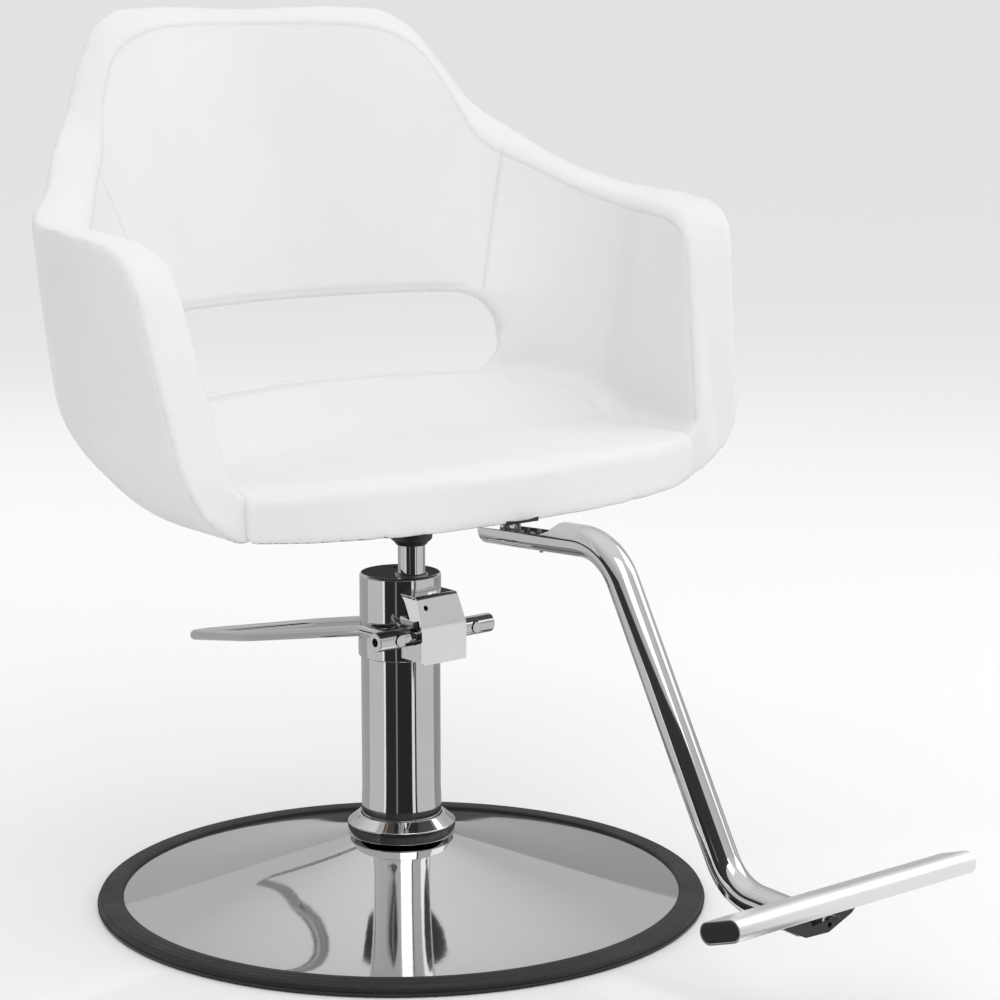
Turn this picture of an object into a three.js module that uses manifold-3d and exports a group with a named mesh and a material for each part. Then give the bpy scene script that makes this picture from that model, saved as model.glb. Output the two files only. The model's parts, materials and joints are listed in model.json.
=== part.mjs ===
// Salon styling chair: a wrap-around upholstered seat on a hydraulic pump with a round base and a
// footrest. Millimetres, +Z up. The origin is the centre of the base on the floor, the sitter faces -Y
// and the sitter's left is +X. Everything stands at the lowest seat height.
import * as THREE from 'three';
import { mergeVertices } from 'three/addons/utils/BufferGeometryUtils.js';
import Module from 'manifold-3d';

const wasm = await Module();
wasm.setup();

// ---------------------------------------------------------------- driving dimensions
const FIT = 0.3;                 // gap kept between pieces that touch
const ROUND = 40;                // facets on a large round piece
const SMALL_ROUND = 20;          // facets on a small one

const BASE_R = 305;              // floor ring, outer radius
const RING_HEIGHT = 13;
const RING_INNER_R = 279;
const DISH_TOP = 67;             // top of the dish, under the collar
const DISH_EDGE_R = 292;
const DISH_EDGE_Z = 7;
const DISH_HOLE_R = 44;
const DISH_SHEET = 2;
const BALLAST_R = 238;
const BALLAST_HEIGHT = 9;

const COLUMN_R = 39.5;
const COLUMN_WALL = 3;
const COLUMN_BOTTOM = 18;
const HEAD_R = 40.5;
const HEAD_BOTTOM = 250;
const HEAD_TOP = 333;
const COLLAR_R = 54;

const RAM_Y = -18;               // the ram and the swivel axis sit off the column's centre
const RAM_R = 13.5;
const RAM_TOP = 396;
const RAM_BOTTOM = 96;
const LIFT = 0.14;               // stroke in metres, quoted in the record
const GLAND_R = 16.5;
const BARREL_R = 17.2;

const SHAFT_Y = -51;             // lever shaft, along X
const SHAFT_Z = 280;
const SHAFT_R = 9.5;
const SHAFT_HALF = 72;
const LEG_X = 48;                // lever rod legs, either side of the head
const LEVER_ROD_R = 5.5;
const LEVER_SLOPE = 0.201;
const LEVER_TIP_Y = 352;
const PLUNGER_Y = -40.5;
const PLUNGER_R = 4;
const POCKET_FLOOR = 256.5;      // floor of the pocket the rocker works in

const SEAT_UNDERSIDE = 412;      // underside of shell and seat board
const SEAT_TOP = 459;
const SEAT_LEVEL = 460;         // below this the wall's plan no longer changes
const SEAM_X = 272;              // seam between the seat front and the arms
const SEAT_FRONT_Y = -131;       // seat front at that seam
const SEAT_CROWN = 66;           // how far the middle of the seat front stands ahead of the seam
const BOARD_TOP = 428;
const BOARD_FRONT_Y = -150;
const PLATE_TOP = 411.7;
const PLATE_SHEET = 4;
const WALL_REF_Z = 588;          // height at which the wall's plan stations are stated
const SLOT_LOW = 509;
const SLOT_HIGH = 588;
const SLOT_HALF = 212;
const SLOT_CORNER = 38;

const TUBE_R = 15;               // footrest tube
const TUBE_WALL = 2;
const STUD_Y = [-162, -178];     // the two studs that hang the footrest from the mounting plate
const BAR_Y = -598;
const BAR_Z = 145;
const BAR_WIDTH = 48;
const BAR_THICK = 20;
const BAR_HALF = 143;
const BAR_TILT = THREE.MathUtils.degToRad(-18);
const CAP_LENGTH = 3;

// ---------------------------------------------------------------- materials
const metal = (colour, roughness) =>
  new THREE.MeshStandardMaterial({ color: colour, roughness, metalness: 1 });
const plain = (colour, roughness) =>
  new THREE.MeshStandardMaterial({ color: colour, roughness, metalness: 0 });
const CHROME = metal(0xd6d8da, 0.06);
const STEEL = metal(0x9a9c9e, 0.35);
const DARK_STEEL = metal(0x2b2c2e, 0.45);
const IRON = metal(0x4a4a4c, 0.7);
const RUBBER = plain(0x2c2d2e, 0.75);
const BLACK_PLASTIC = plain(0x1c1c1d, 0.55);
const WHITE_VINYL = plain(0xf2f2f3, 0.45);
const PLYWOOD = plain(0xb08a5a, 0.8);

// ---------------------------------------------------------------- solids
// A closed mesh as a solid that can be joined and cut.
function solid(geometry) {
  const bare = geometry.clone();
  bare.deleteAttribute('normal');
  bare.deleteAttribute('uv');
  const merged = mergeVertices(bare, 1e-4);
  return new wasm.Manifold(new wasm.Mesh({
    numProp: 3,
    vertProperties: new Float32Array(merged.attributes.position.array),
    triVerts: new Uint32Array(merged.index.array),
  }));
}

function geometryOf(body) {
  const mesh = body.getMesh();
  const geometry = new THREE.BufferGeometry();
  geometry.setAttribute('position', new THREE.BufferAttribute(new Float32Array(mesh.vertProperties), 3));
  geometry.setIndex(new THREE.BufferAttribute(new Uint32Array(mesh.triVerts), 1));
  return geometry;
}

// A piece turned on a lathe about Z from [radius, z] points, then moved to x, y.
function turned(points, { x = 0, y = 0, facets = ROUND } = {}) {
  const profile = points.map(([r, z]) => new THREE.Vector2(r, z));
  const geometry = new THREE.LatheGeometry(profile, facets);
  geometry.rotateX(Math.PI / 2);
  geometry.translate(x, y, 0);
  const body = solid(geometry);
  return body.volume() < 0 ? solid(flipped(geometry)) : body;
}

function flipped(geometry) {
  const index = Array.from(geometry.index.array);
  for (let i = 0; i < index.length; i += 3) [index[i], index[i + 1]] = [index[i + 1], index[i]];
  const copy = geometry.clone();
  copy.setIndex(index);
  return copy;
}

const disc = (r, low, high, place) => turned([[0, low], [r, low], [r, high], [0, high]], place);

const ringOf = (inner, outer, low, high, place) =>
  turned([[inner, low], [outer, low], [outer, high], [inner, high], [inner, low]], place);

// A round bar along X.
function crossBar(radius, from, to, y, z, facets = SMALL_ROUND) {
  const geometry = new THREE.CylinderGeometry(radius, radius, to - from, facets);
  geometry.rotateZ(Math.PI / 2);
  geometry.translate((from + to) / 2, y, z);
  return solid(geometry);
}

// A round bar along Y.
function lengthBar(radius, x, from, to, z, facets = SMALL_ROUND) {
  const geometry = new THREE.CylinderGeometry(radius, radius, to - from, facets);
  geometry.translate(x, (from + to) / 2, z);
  return solid(geometry);
}

function block(low, high) {
  const size = high.map((value, i) => value - low[i]);
  const geometry = new THREE.BoxGeometry(...size);
  geometry.translate(...low.map((value, i) => value + size[i] / 2));
  return solid(geometry);
}

// A flat outline in the Y-Z plane, given thickness along X.
function plateYZ(outline, from, to) {
  const shape = new THREE.Shape(outline.map(([y, z]) => new THREE.Vector2(y, z)));
  const geometry = new THREE.ExtrudeGeometry(shape, { depth: to - from, bevelEnabled: false });
  geometry.applyMatrix4(new THREE.Matrix4().makeBasis(
    new THREE.Vector3(0, 1, 0), new THREE.Vector3(0, 0, 1), new THREE.Vector3(1, 0, 0)));
  geometry.translate(from, 0, 0);
  return solid(geometry);
}

// A flat outline in plan, given a height.
function slab(outline, low, high) {
  const shape = new THREE.Shape(outline.map(([x, y]) => new THREE.Vector2(x, y)));
  const geometry = new THREE.ExtrudeGeometry(shape, { depth: high - low, bevelEnabled: false });
  geometry.translate(0, 0, low);
  return solid(geometry);
}

// A hexagon head with its axis along Z.
const hexHead = (acrossFlats, low, high, x, y) =>
  disc(acrossFlats / Math.sqrt(3), low, high, { x, y, facets: 6 });

const circleShape = (radius, facets) => {
  const points = [];
  for (let i = 0; i < facets; i++) {
    const turn = (i / facets) * Math.PI * 2;
    points.push(new THREE.Vector2(radius * Math.cos(turn), radius * Math.sin(turn)));
  }
  return new THREE.Shape(points);
};

// A round rod or tube body along a path.
function swept(path, radius, steps, facets = SMALL_ROUND) {
  return solid(new THREE.ExtrudeGeometry(circleShape(radius, facets), { steps, extrudePath: path }));
}

// A path of straight runs joined by arcs: each corner is rounded to its own radius.
function bentPath(corners) {
  const path = new THREE.CurvePath();
  let from = new THREE.Vector3(...corners[0].at);
  for (let i = 1; i < corners.length - 1; i++) {
    const corner = new THREE.Vector3(...corners[i].at);
    const before = from.clone().sub(corner).normalize();
    const after = new THREE.Vector3(...corners[i + 1].at).sub(corner).normalize();
    const turn = Math.PI - before.angleTo(after);
    const reach = corners[i].radius * Math.tan(turn / 2);
    const start = corner.clone().addScaledVector(before, reach);
    const end = corner.clone().addScaledVector(after, reach);
    path.add(new THREE.LineCurve3(from, start));
    const pull = (4 / 3) * Math.tan(turn / 4) * corners[i].radius;
    path.add(new THREE.CubicBezierCurve3(start, start.clone().addScaledVector(before, -pull),
      end.clone().addScaledVector(after, -pull), end));
    from = end;
  }
  path.add(new THREE.LineCurve3(from, new THREE.Vector3(...corners.at(-1).at)));
  return path;
}

// ---------------------------------------------------------------- scene graph
const chair = new THREE.Group();
chair.name = 'styling_chair';

function add(name, body, material) {
  const mesh = new THREE.Mesh(geometryOf(body), material);
  mesh.name = name;
  chair.add(mesh);
}

// ---------------------------------------------------------------- base
// The dish falls from the collar to the floor ring in one slightly hollow sweep.
function dishHeight(r) {
  const part = (r - DISH_HOLE_R) / (DISH_EDGE_R - DISH_HOLE_R);
  return DISH_EDGE_Z + (DISH_TOP - DISH_EDGE_Z) * Math.pow(1 - part, 1.25);
}

function buildBase() {
  const rubber = turned([
    [RING_INNER_R, 9.6], [RING_INNER_R + 2, 11.5], [288, RING_HEIGHT], [298, RING_HEIGHT], [BASE_R, 7],
    [BASE_R, 0], [RING_INNER_R, 0], [RING_INNER_R, 9.6]],
  { facets: 56 });
  const stations = [DISH_HOLE_R, 75, 115, 165, 225, DISH_EDGE_R];
  const upper = stations.map((r) => [r, dishHeight(r)]);
  const lower = stations.map((r) => [r, dishHeight(r) - DISH_SHEET]).reverse();
  const dish = turned([...upper, ...lower, upper[0]], { facets: 56 });
  const dishPocket = turned([...upper.map(([r, z]) => [r, z + FIT]),
    [DISH_EDGE_R + FIT, DISH_EDGE_Z + FIT], [DISH_EDGE_R + FIT, DISH_EDGE_Z - DISH_SHEET - FIT],
    ...lower.map(([r, z]) => [r, z - FIT]), [DISH_HOLE_R, DISH_TOP + FIT]], { facets: 56 });
  add('floor_ring', rubber.subtract(dishPocket), RUBBER);
  add('base_dish', dish, CHROME);

  const boltPlaces = [45, 135, 225, 315].map((angle) => {
    const turn = THREE.MathUtils.degToRad(angle);
    return { x: 58 * Math.cos(turn), y: 58 * Math.sin(turn), facets: SMALL_ROUND };
  });
  let ballast = disc(BALLAST_R, 0, BALLAST_HEIGHT, { facets: 48 });
  let foot = turned([[0, BALLAST_HEIGHT + FIT], [75, BALLAST_HEIGHT + FIT], [75, COLUMN_BOTTOM - FIT],
    [COLUMN_R - COLUMN_WALL - FIT, COLUMN_BOTTOM - FIT], [COLUMN_R - COLUMN_WALL - FIT, 42], [0, 42]]);
  boltPlaces.forEach((place, i) => {
    const bore = disc(5.3, 3, 60, place);
    ballast = ballast.subtract(bore);
    foot = foot.subtract(bore);
    const bolt = disc(5, 3.3, COLUMN_BOTTOM, place)
      .add(hexHead(16, COLUMN_BOTTOM, COLUMN_BOTTOM + 6.5, place.x, place.y));
    add(`base_bolt_${i + 1}`, bolt, STEEL);
  });
  add('ballast_plate', ballast, IRON);
  add('column_foot', foot.subtract(disc(BARREL_R + FIT, 36, 60, { y: RAM_Y })), IRON);
  add('column_collar', turned([[COLUMN_R + 1.1, DISH_TOP + FIT], [COLLAR_R, DISH_TOP + FIT], [COLLAR_R, 79],
    [51, 81.5], [42.5, 87.5], [COLUMN_R + 1.1, 87.5], [COLUMN_R + 1.1, DISH_TOP + FIT]]), CHROME);
}

// ---------------------------------------------------------------- hydraulic pump
function buildPump() {
  const inside = COLUMN_R - COLUMN_WALL;
  add('pump_column', ringOf(inside, COLUMN_R, COLUMN_BOTTOM, HEAD_BOTTOM - FIT), CHROME);
  add('ram_barrel', ringOf(RAM_R + 1, BARREL_R, 36.5, HEAD_BOTTOM + 5, { y: RAM_Y, facets: 28 }), STEEL);

  let head = turned([[0, HEAD_BOTTOM], [HEAD_R + 1.5, HEAD_BOTTOM], [HEAD_R + 1.5, HEAD_BOTTOM + 18],
    [HEAD_R, HEAD_BOTTOM + 26], [HEAD_R, HEAD_TOP - 2.5], [HEAD_R - 2.5, HEAD_TOP], [0, HEAD_TOP]]);
  const ears = [-1, 1].map((side) => {
    const near = side * 14;
    const far = side * 25.5;
    return block([Math.min(near, far), -64, 254], [Math.max(near, far), -30, 293]);
  });
  const step = block([-15, -52, 254 - 4], [15, -30, POCKET_FLOOR]);
  head = head.add(ears[0]).add(ears[1]).add(step);
  const cuts = [
    disc(BARREL_R + FIT, HEAD_BOTTOM - 1, HEAD_BOTTOM + 5.5, { y: RAM_Y, facets: 28 }),
    disc(RAM_R + 0.4, HEAD_BOTTOM, HEAD_TOP + 1, { y: RAM_Y, facets: 28 }),
    disc(GLAND_R + FIT, HEAD_TOP - 9, HEAD_TOP + 1, { y: RAM_Y, facets: 28 }),
    disc(PLUNGER_R + 0.3, HEAD_BOTTOM + 1, 300, { y: PLUNGER_Y, facets: SMALL_ROUND }),
    block([-11, -66, POCKET_FLOOR], [11, -34, 299]),
    crossBar(SHAFT_R + 0.3, -40, 40, SHAFT_Y, SHAFT_Z, 28),
    disc(5.3, HEAD_TOP - 12, HEAD_TOP + 1, { x: 9, y: 20, facets: SMALL_ROUND }),
    ...[-1, 1].map((side) => crossBar(2.3, side < 0 ? -26 : 18, side < 0 ? -18 : 26, -58, 291.5, 12)),
  ];
  add('pump_head', cuts.reduce((body, cut) => body.subtract(cut), head), CHROME);
  add('ram_gland', ringOf(RAM_R + 0.4, GLAND_R, HEAD_TOP - 8.7, HEAD_TOP + 1.5, { y: RAM_Y, facets: 28 }),
    STEEL);
  const filler = disc(5, HEAD_TOP - 11.7, HEAD_TOP - 0.4, { x: 9, y: 20, facets: SMALL_ROUND });
  add('oil_filler_screw', filler.subtract(hexHead(4, HEAD_TOP - 4, HEAD_TOP + 1, 9, 20)), DARK_STEEL);
}

function buildRam() {
  const place = { y: RAM_Y, facets: 28 };
  const rod = disc(RAM_R, RAM_BOTTOM, RAM_TOP - 28, place)
    .add(turned([[0, RAM_TOP - 28], [RAM_R, RAM_TOP - 28], [11, RAM_TOP - 4], [0, RAM_TOP - 4]], place));
  add('ram', rod, CHROME);
  add('ram_piston', disc(RAM_R + 0.7, RAM_BOTTOM - 14, RAM_BOTTOM - FIT, place), BLACK_PLASTIC);
}

// The rocker turns with the lever shaft and presses the plunger down into the pump head.
function buildPlunger() {
  const place = { y: PLUNGER_Y, facets: SMALL_ROUND };
  add('plunger', disc(PLUNGER_R, 254.9, 267.9, place), STEEL);
  const coil = ringOf(PLUNGER_R + 0.6, PLUNGER_R + 2.2, POCKET_FLOOR + FIT, 265.4, place);
  add('plunger_spring', coil, STEEL);
  add('plunger_cap', disc(6.2, 265.7, 269.3, place).subtract(disc(PLUNGER_R + FIT, 264, 268.2, place)),
    DARK_STEEL);
}

// The lever is one bent rod: two legs beside the pump that close to a narrow nose behind it.
function leverPath() {
  const drop = (y) => SHAFT_Z - Math.max(0, y) * LEVER_SLOPE;
  const right = [
    { at: [LEG_X, -62, SHAFT_Z] },
    { at: [LEG_X, 0, SHAFT_Z], radius: 40 },
    { at: [LEG_X, 196, drop(196)], radius: 40 },
    { at: [7.2, LEVER_TIP_Y, drop(LEVER_TIP_Y)], radius: 5 },
  ];
  const left = right.map(({ at: [x, y, z], radius }) => ({ at: [-x, y, z], radius })).reverse();
  return bentPath([...right, ...left]);
}

function buildLever() {
  let shaft = crossBar(SHAFT_R, -SHAFT_HALF, SHAFT_HALF, SHAFT_Y, SHAFT_Z, 28);
  for (const side of [-1, 1]) {
    shaft = shaft.subtract(lengthBar(LEVER_ROD_R + 0.4, side * LEG_X, -80, -20, SHAFT_Z));
    const inner = LEG_X + LEVER_ROD_R + 0.1;
    shaft = shaft.subtract(side < 0 ? crossBar(4.4, -80, -inner, SHAFT_Y, SHAFT_Z, 16)
      : crossBar(4.4, inner, 80, SHAFT_Y, SHAFT_Z, 16));
    const low = LEG_X + LEVER_ROD_R + 0.7;
    const high = SHAFT_HALF - 2.5;
    let screw = side < 0 ? crossBar(4, -high, -low, SHAFT_Y, SHAFT_Z, 16)
      : crossBar(4, low, high, SHAFT_Y, SHAFT_Z, 16);
    const socket = side < 0 ? crossBar(2.3, -high - 1, -high + 5, SHAFT_Y, SHAFT_Z, 6)
      : crossBar(2.3, high - 5, high + 1, SHAFT_Y, SHAFT_Z, 6);
    screw = screw.subtract(socket);
    add(side < 0 ? 'lever_set_screw_right' : 'lever_set_screw_left', screw, DARK_STEEL);
  }
  add('lever_shaft', shaft.subtract(block([-8, -44.6, 268], [8, -30, 292])), CHROME);
  add('lever_rod', swept(leverPath(), LEVER_ROD_R, 44, 12), CHROME);
  const rocker = plateYZ([[-44.2, 276], [-40, 271.5], [-37.5, 269.8], [-36.5, 271], [-37, 280], [-44.2, 288]],
    -6, 6);
  add('rocker', rocker, STEEL);
}

// Bent sheet over the front of the pump head, open at the back and below.
function buildCover() {
  const sheet = 2;
  const front = [[-69, 253], [-68, 292], [-57, 319]];
  const back = front.map(([y, z]) => [y + sheet + 0.2, z]).reverse();
  let cover = plateYZ([...front, ...back], -28.5, 28.5);
  const wall = [[-68.9, 253], [-67.9, 292], [-56.9, 319], [-33, 322], [-39, 312], [-50, 288], [-51, 253]];
  for (const side of [-1, 1]) {
    cover = cover.add(side < 0 ? plateYZ(wall, -28.5, -26.2) : plateYZ(wall, 26.2, 28.5));
  }
  cover = cover.subtract(crossBar(SHAFT_R + 1.2, -30, 30, SHAFT_Y, SHAFT_Z, 28));
  for (const side of [-1, 1]) {
    const from = side < 0 ? -32 : 18.5;
    const to = side < 0 ? -18.5 : 32;
    cover = cover.subtract(crossBar(2.3, from, to, -58, 291.5, 12));
    const head = side < 0 ? crossBar(4, -31, -28.8, -58, 291.5, 16) : crossBar(4, 28.8, 31, -58, 291.5, 16);
    const shank = side < 0 ? crossBar(2, -29, -19, -58, 291.5, 12) : crossBar(2, 19, 29, -58, 291.5, 12);
    add(side < 0 ? 'cover_screw_right' : 'cover_screw_left', head.add(shank), DARK_STEEL);
  }
  const hole = lengthBar(2.6, -17, -80, -50, 308, 16);
  add('pump_cover', cover.subtract(hole), CHROME);
}

// ---------------------------------------------------------------- upholstered shell
// The wall's inner face in plan, as stations from the middle of the back (0) to the arm's front (5).
// Each station moves with height, because the arms flare and the back reclines. Below the seat's
// level the plan stays the same.
function wallStations(z) {
  const rise = Math.max(z, SEAT_LEVEL) - WALL_REF_Z;
  const corner = rise > 0 ? [0.27, 0.25] : [0.06, 0.14];
  return [
    [0, 182 + 0.19 * rise],
    [130, 158 + 0.21 * rise],
    [200 + corner[0] * rise, 112 + corner[1] * rise],
    [303 + 0.15 * rise, 50],
    [314 + 0.14 * rise, -10],
    [301 + 0.135 * rise, -97 + 0.235 * rise],
  ];
}

// Cubic through evenly numbered values, the same rule as a Catmull-Rom spline.
function through(values, s) {
  const at = (i) => values[Math.min(Math.max(i, 0), values.length - 1)];
  const i = Math.min(Math.floor(s), values.length - 2);
  const w = s - i;
  const [a, b, c, d] = [at(i - 1), at(i), at(i + 1), at(i + 2)];
  return b + 0.5 * w * (c - a + w * (2 * a - 5 * b + 4 * c - d + w * (3 * (b - c) + d - a)));
}

// Smooth curve through [s, value] points that are not evenly spaced.
function curve(points, s) {
  let i = 0;
  while (i < points.length - 2 && s > points[i + 1][0]) i++;
  const slope = (k) => {
    const a = points[Math.max(k - 1, 0)];
    const b = points[Math.min(k + 1, points.length - 1)];
    return (b[1] - a[1]) / (b[0] - a[0]);
  };
  const [x0, y0] = points[i];
  const [x1, y1] = points[i + 1];
  const w = (s - x0) / (x1 - x0);
  const span = x1 - x0;
  return y0 * (1 + 2 * w) * (1 - w) ** 2 + slope(i) * span * w * (1 - w) ** 2
    + y1 * w * w * (3 - 2 * w) + slope(i + 1) * span * w * w * (w - 1);
}

// A point at station s (negative on the sitter's right), height z, and distance out from the inner face.
function wallPoint(s, z, out) {
  const side = s < 0 ? -1 : 1;
  const stations = wallStations(z);
  const full = [stations[1].map((v, i) => (i === 0 ? -v : v)), ...stations];
  const place = (t) => [0, 1].map((k) => through(full.map((p) => p[k]), t + 1));
  const t = Math.abs(s);
  const [x, y] = place(t);
  const step = 0.01;
  const [xa, ya] = place(Math.max(t - step, 0));
  const [xb, yb] = place(Math.min(t + step, 5));
  const along = Math.hypot(xb - xa, yb - ya);
  const normal = [-(yb - ya) / along, (xb - xa) / along];
  return [side * (x + out * normal[0]), y + out * normal[1], z];
}

const WALL_THICKNESS = [[0, 44], [1, 44], [2, 46], [3, 58], [4, 62], [5, 59]];
const INNER_RIM = [[0, 872], [1, 869], [1.38, 849], [1.6, 812], [1.9, 757], [2.35, 727], [2.8, 702],
  [3.3, 689], [4, 684], [4.55, 677], [4.85, 662], [5, 628]];
const RIM_TILT = [[0, 7], [1, 13], [1.2, 20], [1.4, 24], [1.8, 24], [2.4, 10], [3, 7], [4, 4], [5, 0]];
// The slot's ends meet the inner face at this depth, and splay by this much for each millimetre behind it.
const SLOT_END_Y = 95;
const SLOT_SPLAY = 0.7;
// How much thinner the wall is at its rim than halfway down.
const RIM_THIN = [[0, 14], [1, 15], [1.6, 18], [2, 18], [2.3, 10], [2.7, 6], [3, 2], [4, 0], [5, 0]];
// The lower outside corner is a quarter ellipse: how far in it goes, and how high it starts.
const CORNER_IN = [[0, 98], [1, 100], [2, 104], [3, 100], [4, 85], [5, 75]];
const CORNER_UP = [[0, 100], [1, 100], [2, 110], [3, 110], [4, 85], [5, 76]];
// How far the wall reaches in to the edge of the cushion, and its height there and at the inner face.
const FOOT_IN = [[0, 52], [1, 60], [2, 37], [2.6, 20], [3, 18], [4, 24], [5, 11.5]];
const FOOT_TOP = [[0, 507], [1, 507], [2, 507], [2.4, 486], [3, 468], [4, 460], [5, 457]];
const FILLET_TOP = [[0, 514], [1, 514], [2, 512], [3, 494], [4, 483], [5, 481]];

// How far the wall reaches in beside the cushion, or further down beside the seat board.
function reachIn(t, deep) {
  const shallow = curve(FOOT_IN, t);
  return deep ? Math.max(shallow, curve(CORNER_IN, t) - curve(WALL_THICKNESS, t) + 2) : shallow;
}

function shellLoop(s) {
  const t = Math.abs(s);
  const thick = curve(WALL_THICKNESS, t);
  const rim = curve(INNER_RIM, t);
  const outerRim = rim + curve(RIM_TILT, t);
  const rimOut = thick - curve(RIM_THIN, t);
  const cornerIn = curve(CORNER_IN, t);
  const cornerUp = curve(CORNER_UP, t);
  const foot = reachIn(t, false);
  const footDeep = reachIn(t, true) + 1;
  const footTop = curve(FOOT_TOP, t);
  const filletTop = curve(FILLET_TOP, t);
  const cornerTop = SEAT_UNDERSIDE + cornerUp;
  const loop = [[rimOut, outerRim], [thick, (outerRim + cornerTop) / 2], [thick, cornerTop]];
  for (const degrees of [25, 45, 65, 90]) {
    const turn = THREE.MathUtils.degToRad(degrees);
    loop.push([thick - cornerIn * (1 - Math.cos(turn)), cornerTop - cornerUp * Math.sin(turn)]);
  }
  loop.push([-footDeep, SEAT_UNDERSIDE], [-footDeep, BOARD_TOP], [-foot, BOARD_TOP], [-foot, footTop]);
  loop.push([-foot * 0.6, footTop + (filletTop - footTop) * 0.22]);
  loop.push([-foot * 0.25, footTop + (filletTop - footTop) * 0.62]);
  loop.push([0, filletTop], [0, (filletTop + rim) / 2], [0, rim], [rimOut / 2, (rim + outerRim) / 2 + 4]);
  return loop;
}

function shellSolid() {
  const half = [0, 0.5, 1, 1.25, 1.5, 1.75, 2, 2.3, 2.65, 3, 3.5, 4, 4.4, 4.7, 4.88, 5];
  const stations = [...half.slice(1).map((s) => -s).reverse(), ...half];
  const points = [];
  const index = [];
  const loops = stations.map((s) => shellLoop(s));
  const count = loops[0].length;
  stations.forEach((s, i) => {
    for (const [out, z] of loops[i]) points.push(...wallPoint(s === 0 ? 1e-9 : s, z, out));
  });
  for (let i = 0; i < stations.length - 1; i++) {
    for (let k = 0; k < count; k++) {
      const a = i * count + k;
      const b = i * count + ((k + 1) % count);
      index.push(a, b, a + count, b, b + count, a + count);
    }
  }
  for (const end of [0, stations.length - 1]) {
    const outline = loops[end].map(([out, z]) => new THREE.Vector2(out, z));
    for (const corners of THREE.ShapeUtils.triangulateShape(outline, [])) {
      const clockwise = THREE.ShapeUtils.isClockWise(corners.map((k) => outline[k]));
      const face = corners.map((k) => end * count + k);
      index.push(...(clockwise === (end === 0) ? face.reverse() : face));
    }
  }
  const geometry = new THREE.BufferGeometry();
  geometry.setAttribute('position', new THREE.Float32BufferAttribute(points, 3));
  geometry.setIndex(index);
  const body = solid(geometry);
  return body.volume() < 0 ? solid(flipped(geometry)) : body;
}

// The long opening across the back: a flat oval bar pushed through along Y.
function slotTool() {
  const shape = new THREE.Shape();
  const right = SLOT_HALF - SLOT_CORNER;
  shape.absarc(right, SLOT_LOW + SLOT_CORNER, SLOT_CORNER, -Math.PI / 2, 0, false);
  shape.absarc(right, SLOT_HIGH - SLOT_CORNER, SLOT_CORNER, 0, Math.PI / 2, false);
  shape.absarc(-right, SLOT_HIGH - SLOT_CORNER, SLOT_CORNER, Math.PI / 2, Math.PI, false);
  shape.absarc(-right, SLOT_LOW + SLOT_CORNER, SLOT_CORNER, Math.PI, 1.5 * Math.PI, false);
  const geometry = new THREE.ExtrudeGeometry(shape, { depth: 260, bevelEnabled: false, curveSegments: 7 });
  geometry.rotateX(Math.PI / 2);
  geometry.translate(0, 330, 0);
  // The slot's ends splay outward toward the back.
  const spots = geometry.attributes.position;
  for (let i = 0; i < spots.count; i++) {
    spots.setX(i, spots.getX(i) * (1 + ((spots.getY(i) - SLOT_END_Y) * SLOT_SPLAY) / SLOT_HALF));
  }
  return solid(geometry);
}

// Plan outline inside the foot of the wall, closed across the front by the given curve.
function innerOutline(gap, deep, frontY) {
  const outline = [];
  for (let s = 5; s >= -5; s -= 0.5) {
    const [x, y] = wallPoint(s === 0 ? 1e-9 : s, SEAT_LEVEL, -reachIn(Math.abs(s), deep) - gap);
    if (y > frontY(x)) outline.push([x, y]);
  }
  const firstX = outline[0][0];
  const steps = 12;
  for (let i = 0; i <= steps; i++) {
    const x = -firstX * Math.cos((Math.PI * i) / steps);
    outline.push([x, frontY(x)]);
  }
  return outline;
}

// The cushion's top in side view: level, then curling up to the lip below the slot.
const CUSHION_PROFILE = [[-192, SEAT_UNDERSIDE + 1], [-180, 453], [-170, SEAT_TOP], [-120, 461], [0, 460],
  [30, 464], [58, 474], [82, 489], [98, 502], [110, 507], [130, 507], [130, SEAT_UNDERSIDE + 1]];

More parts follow.
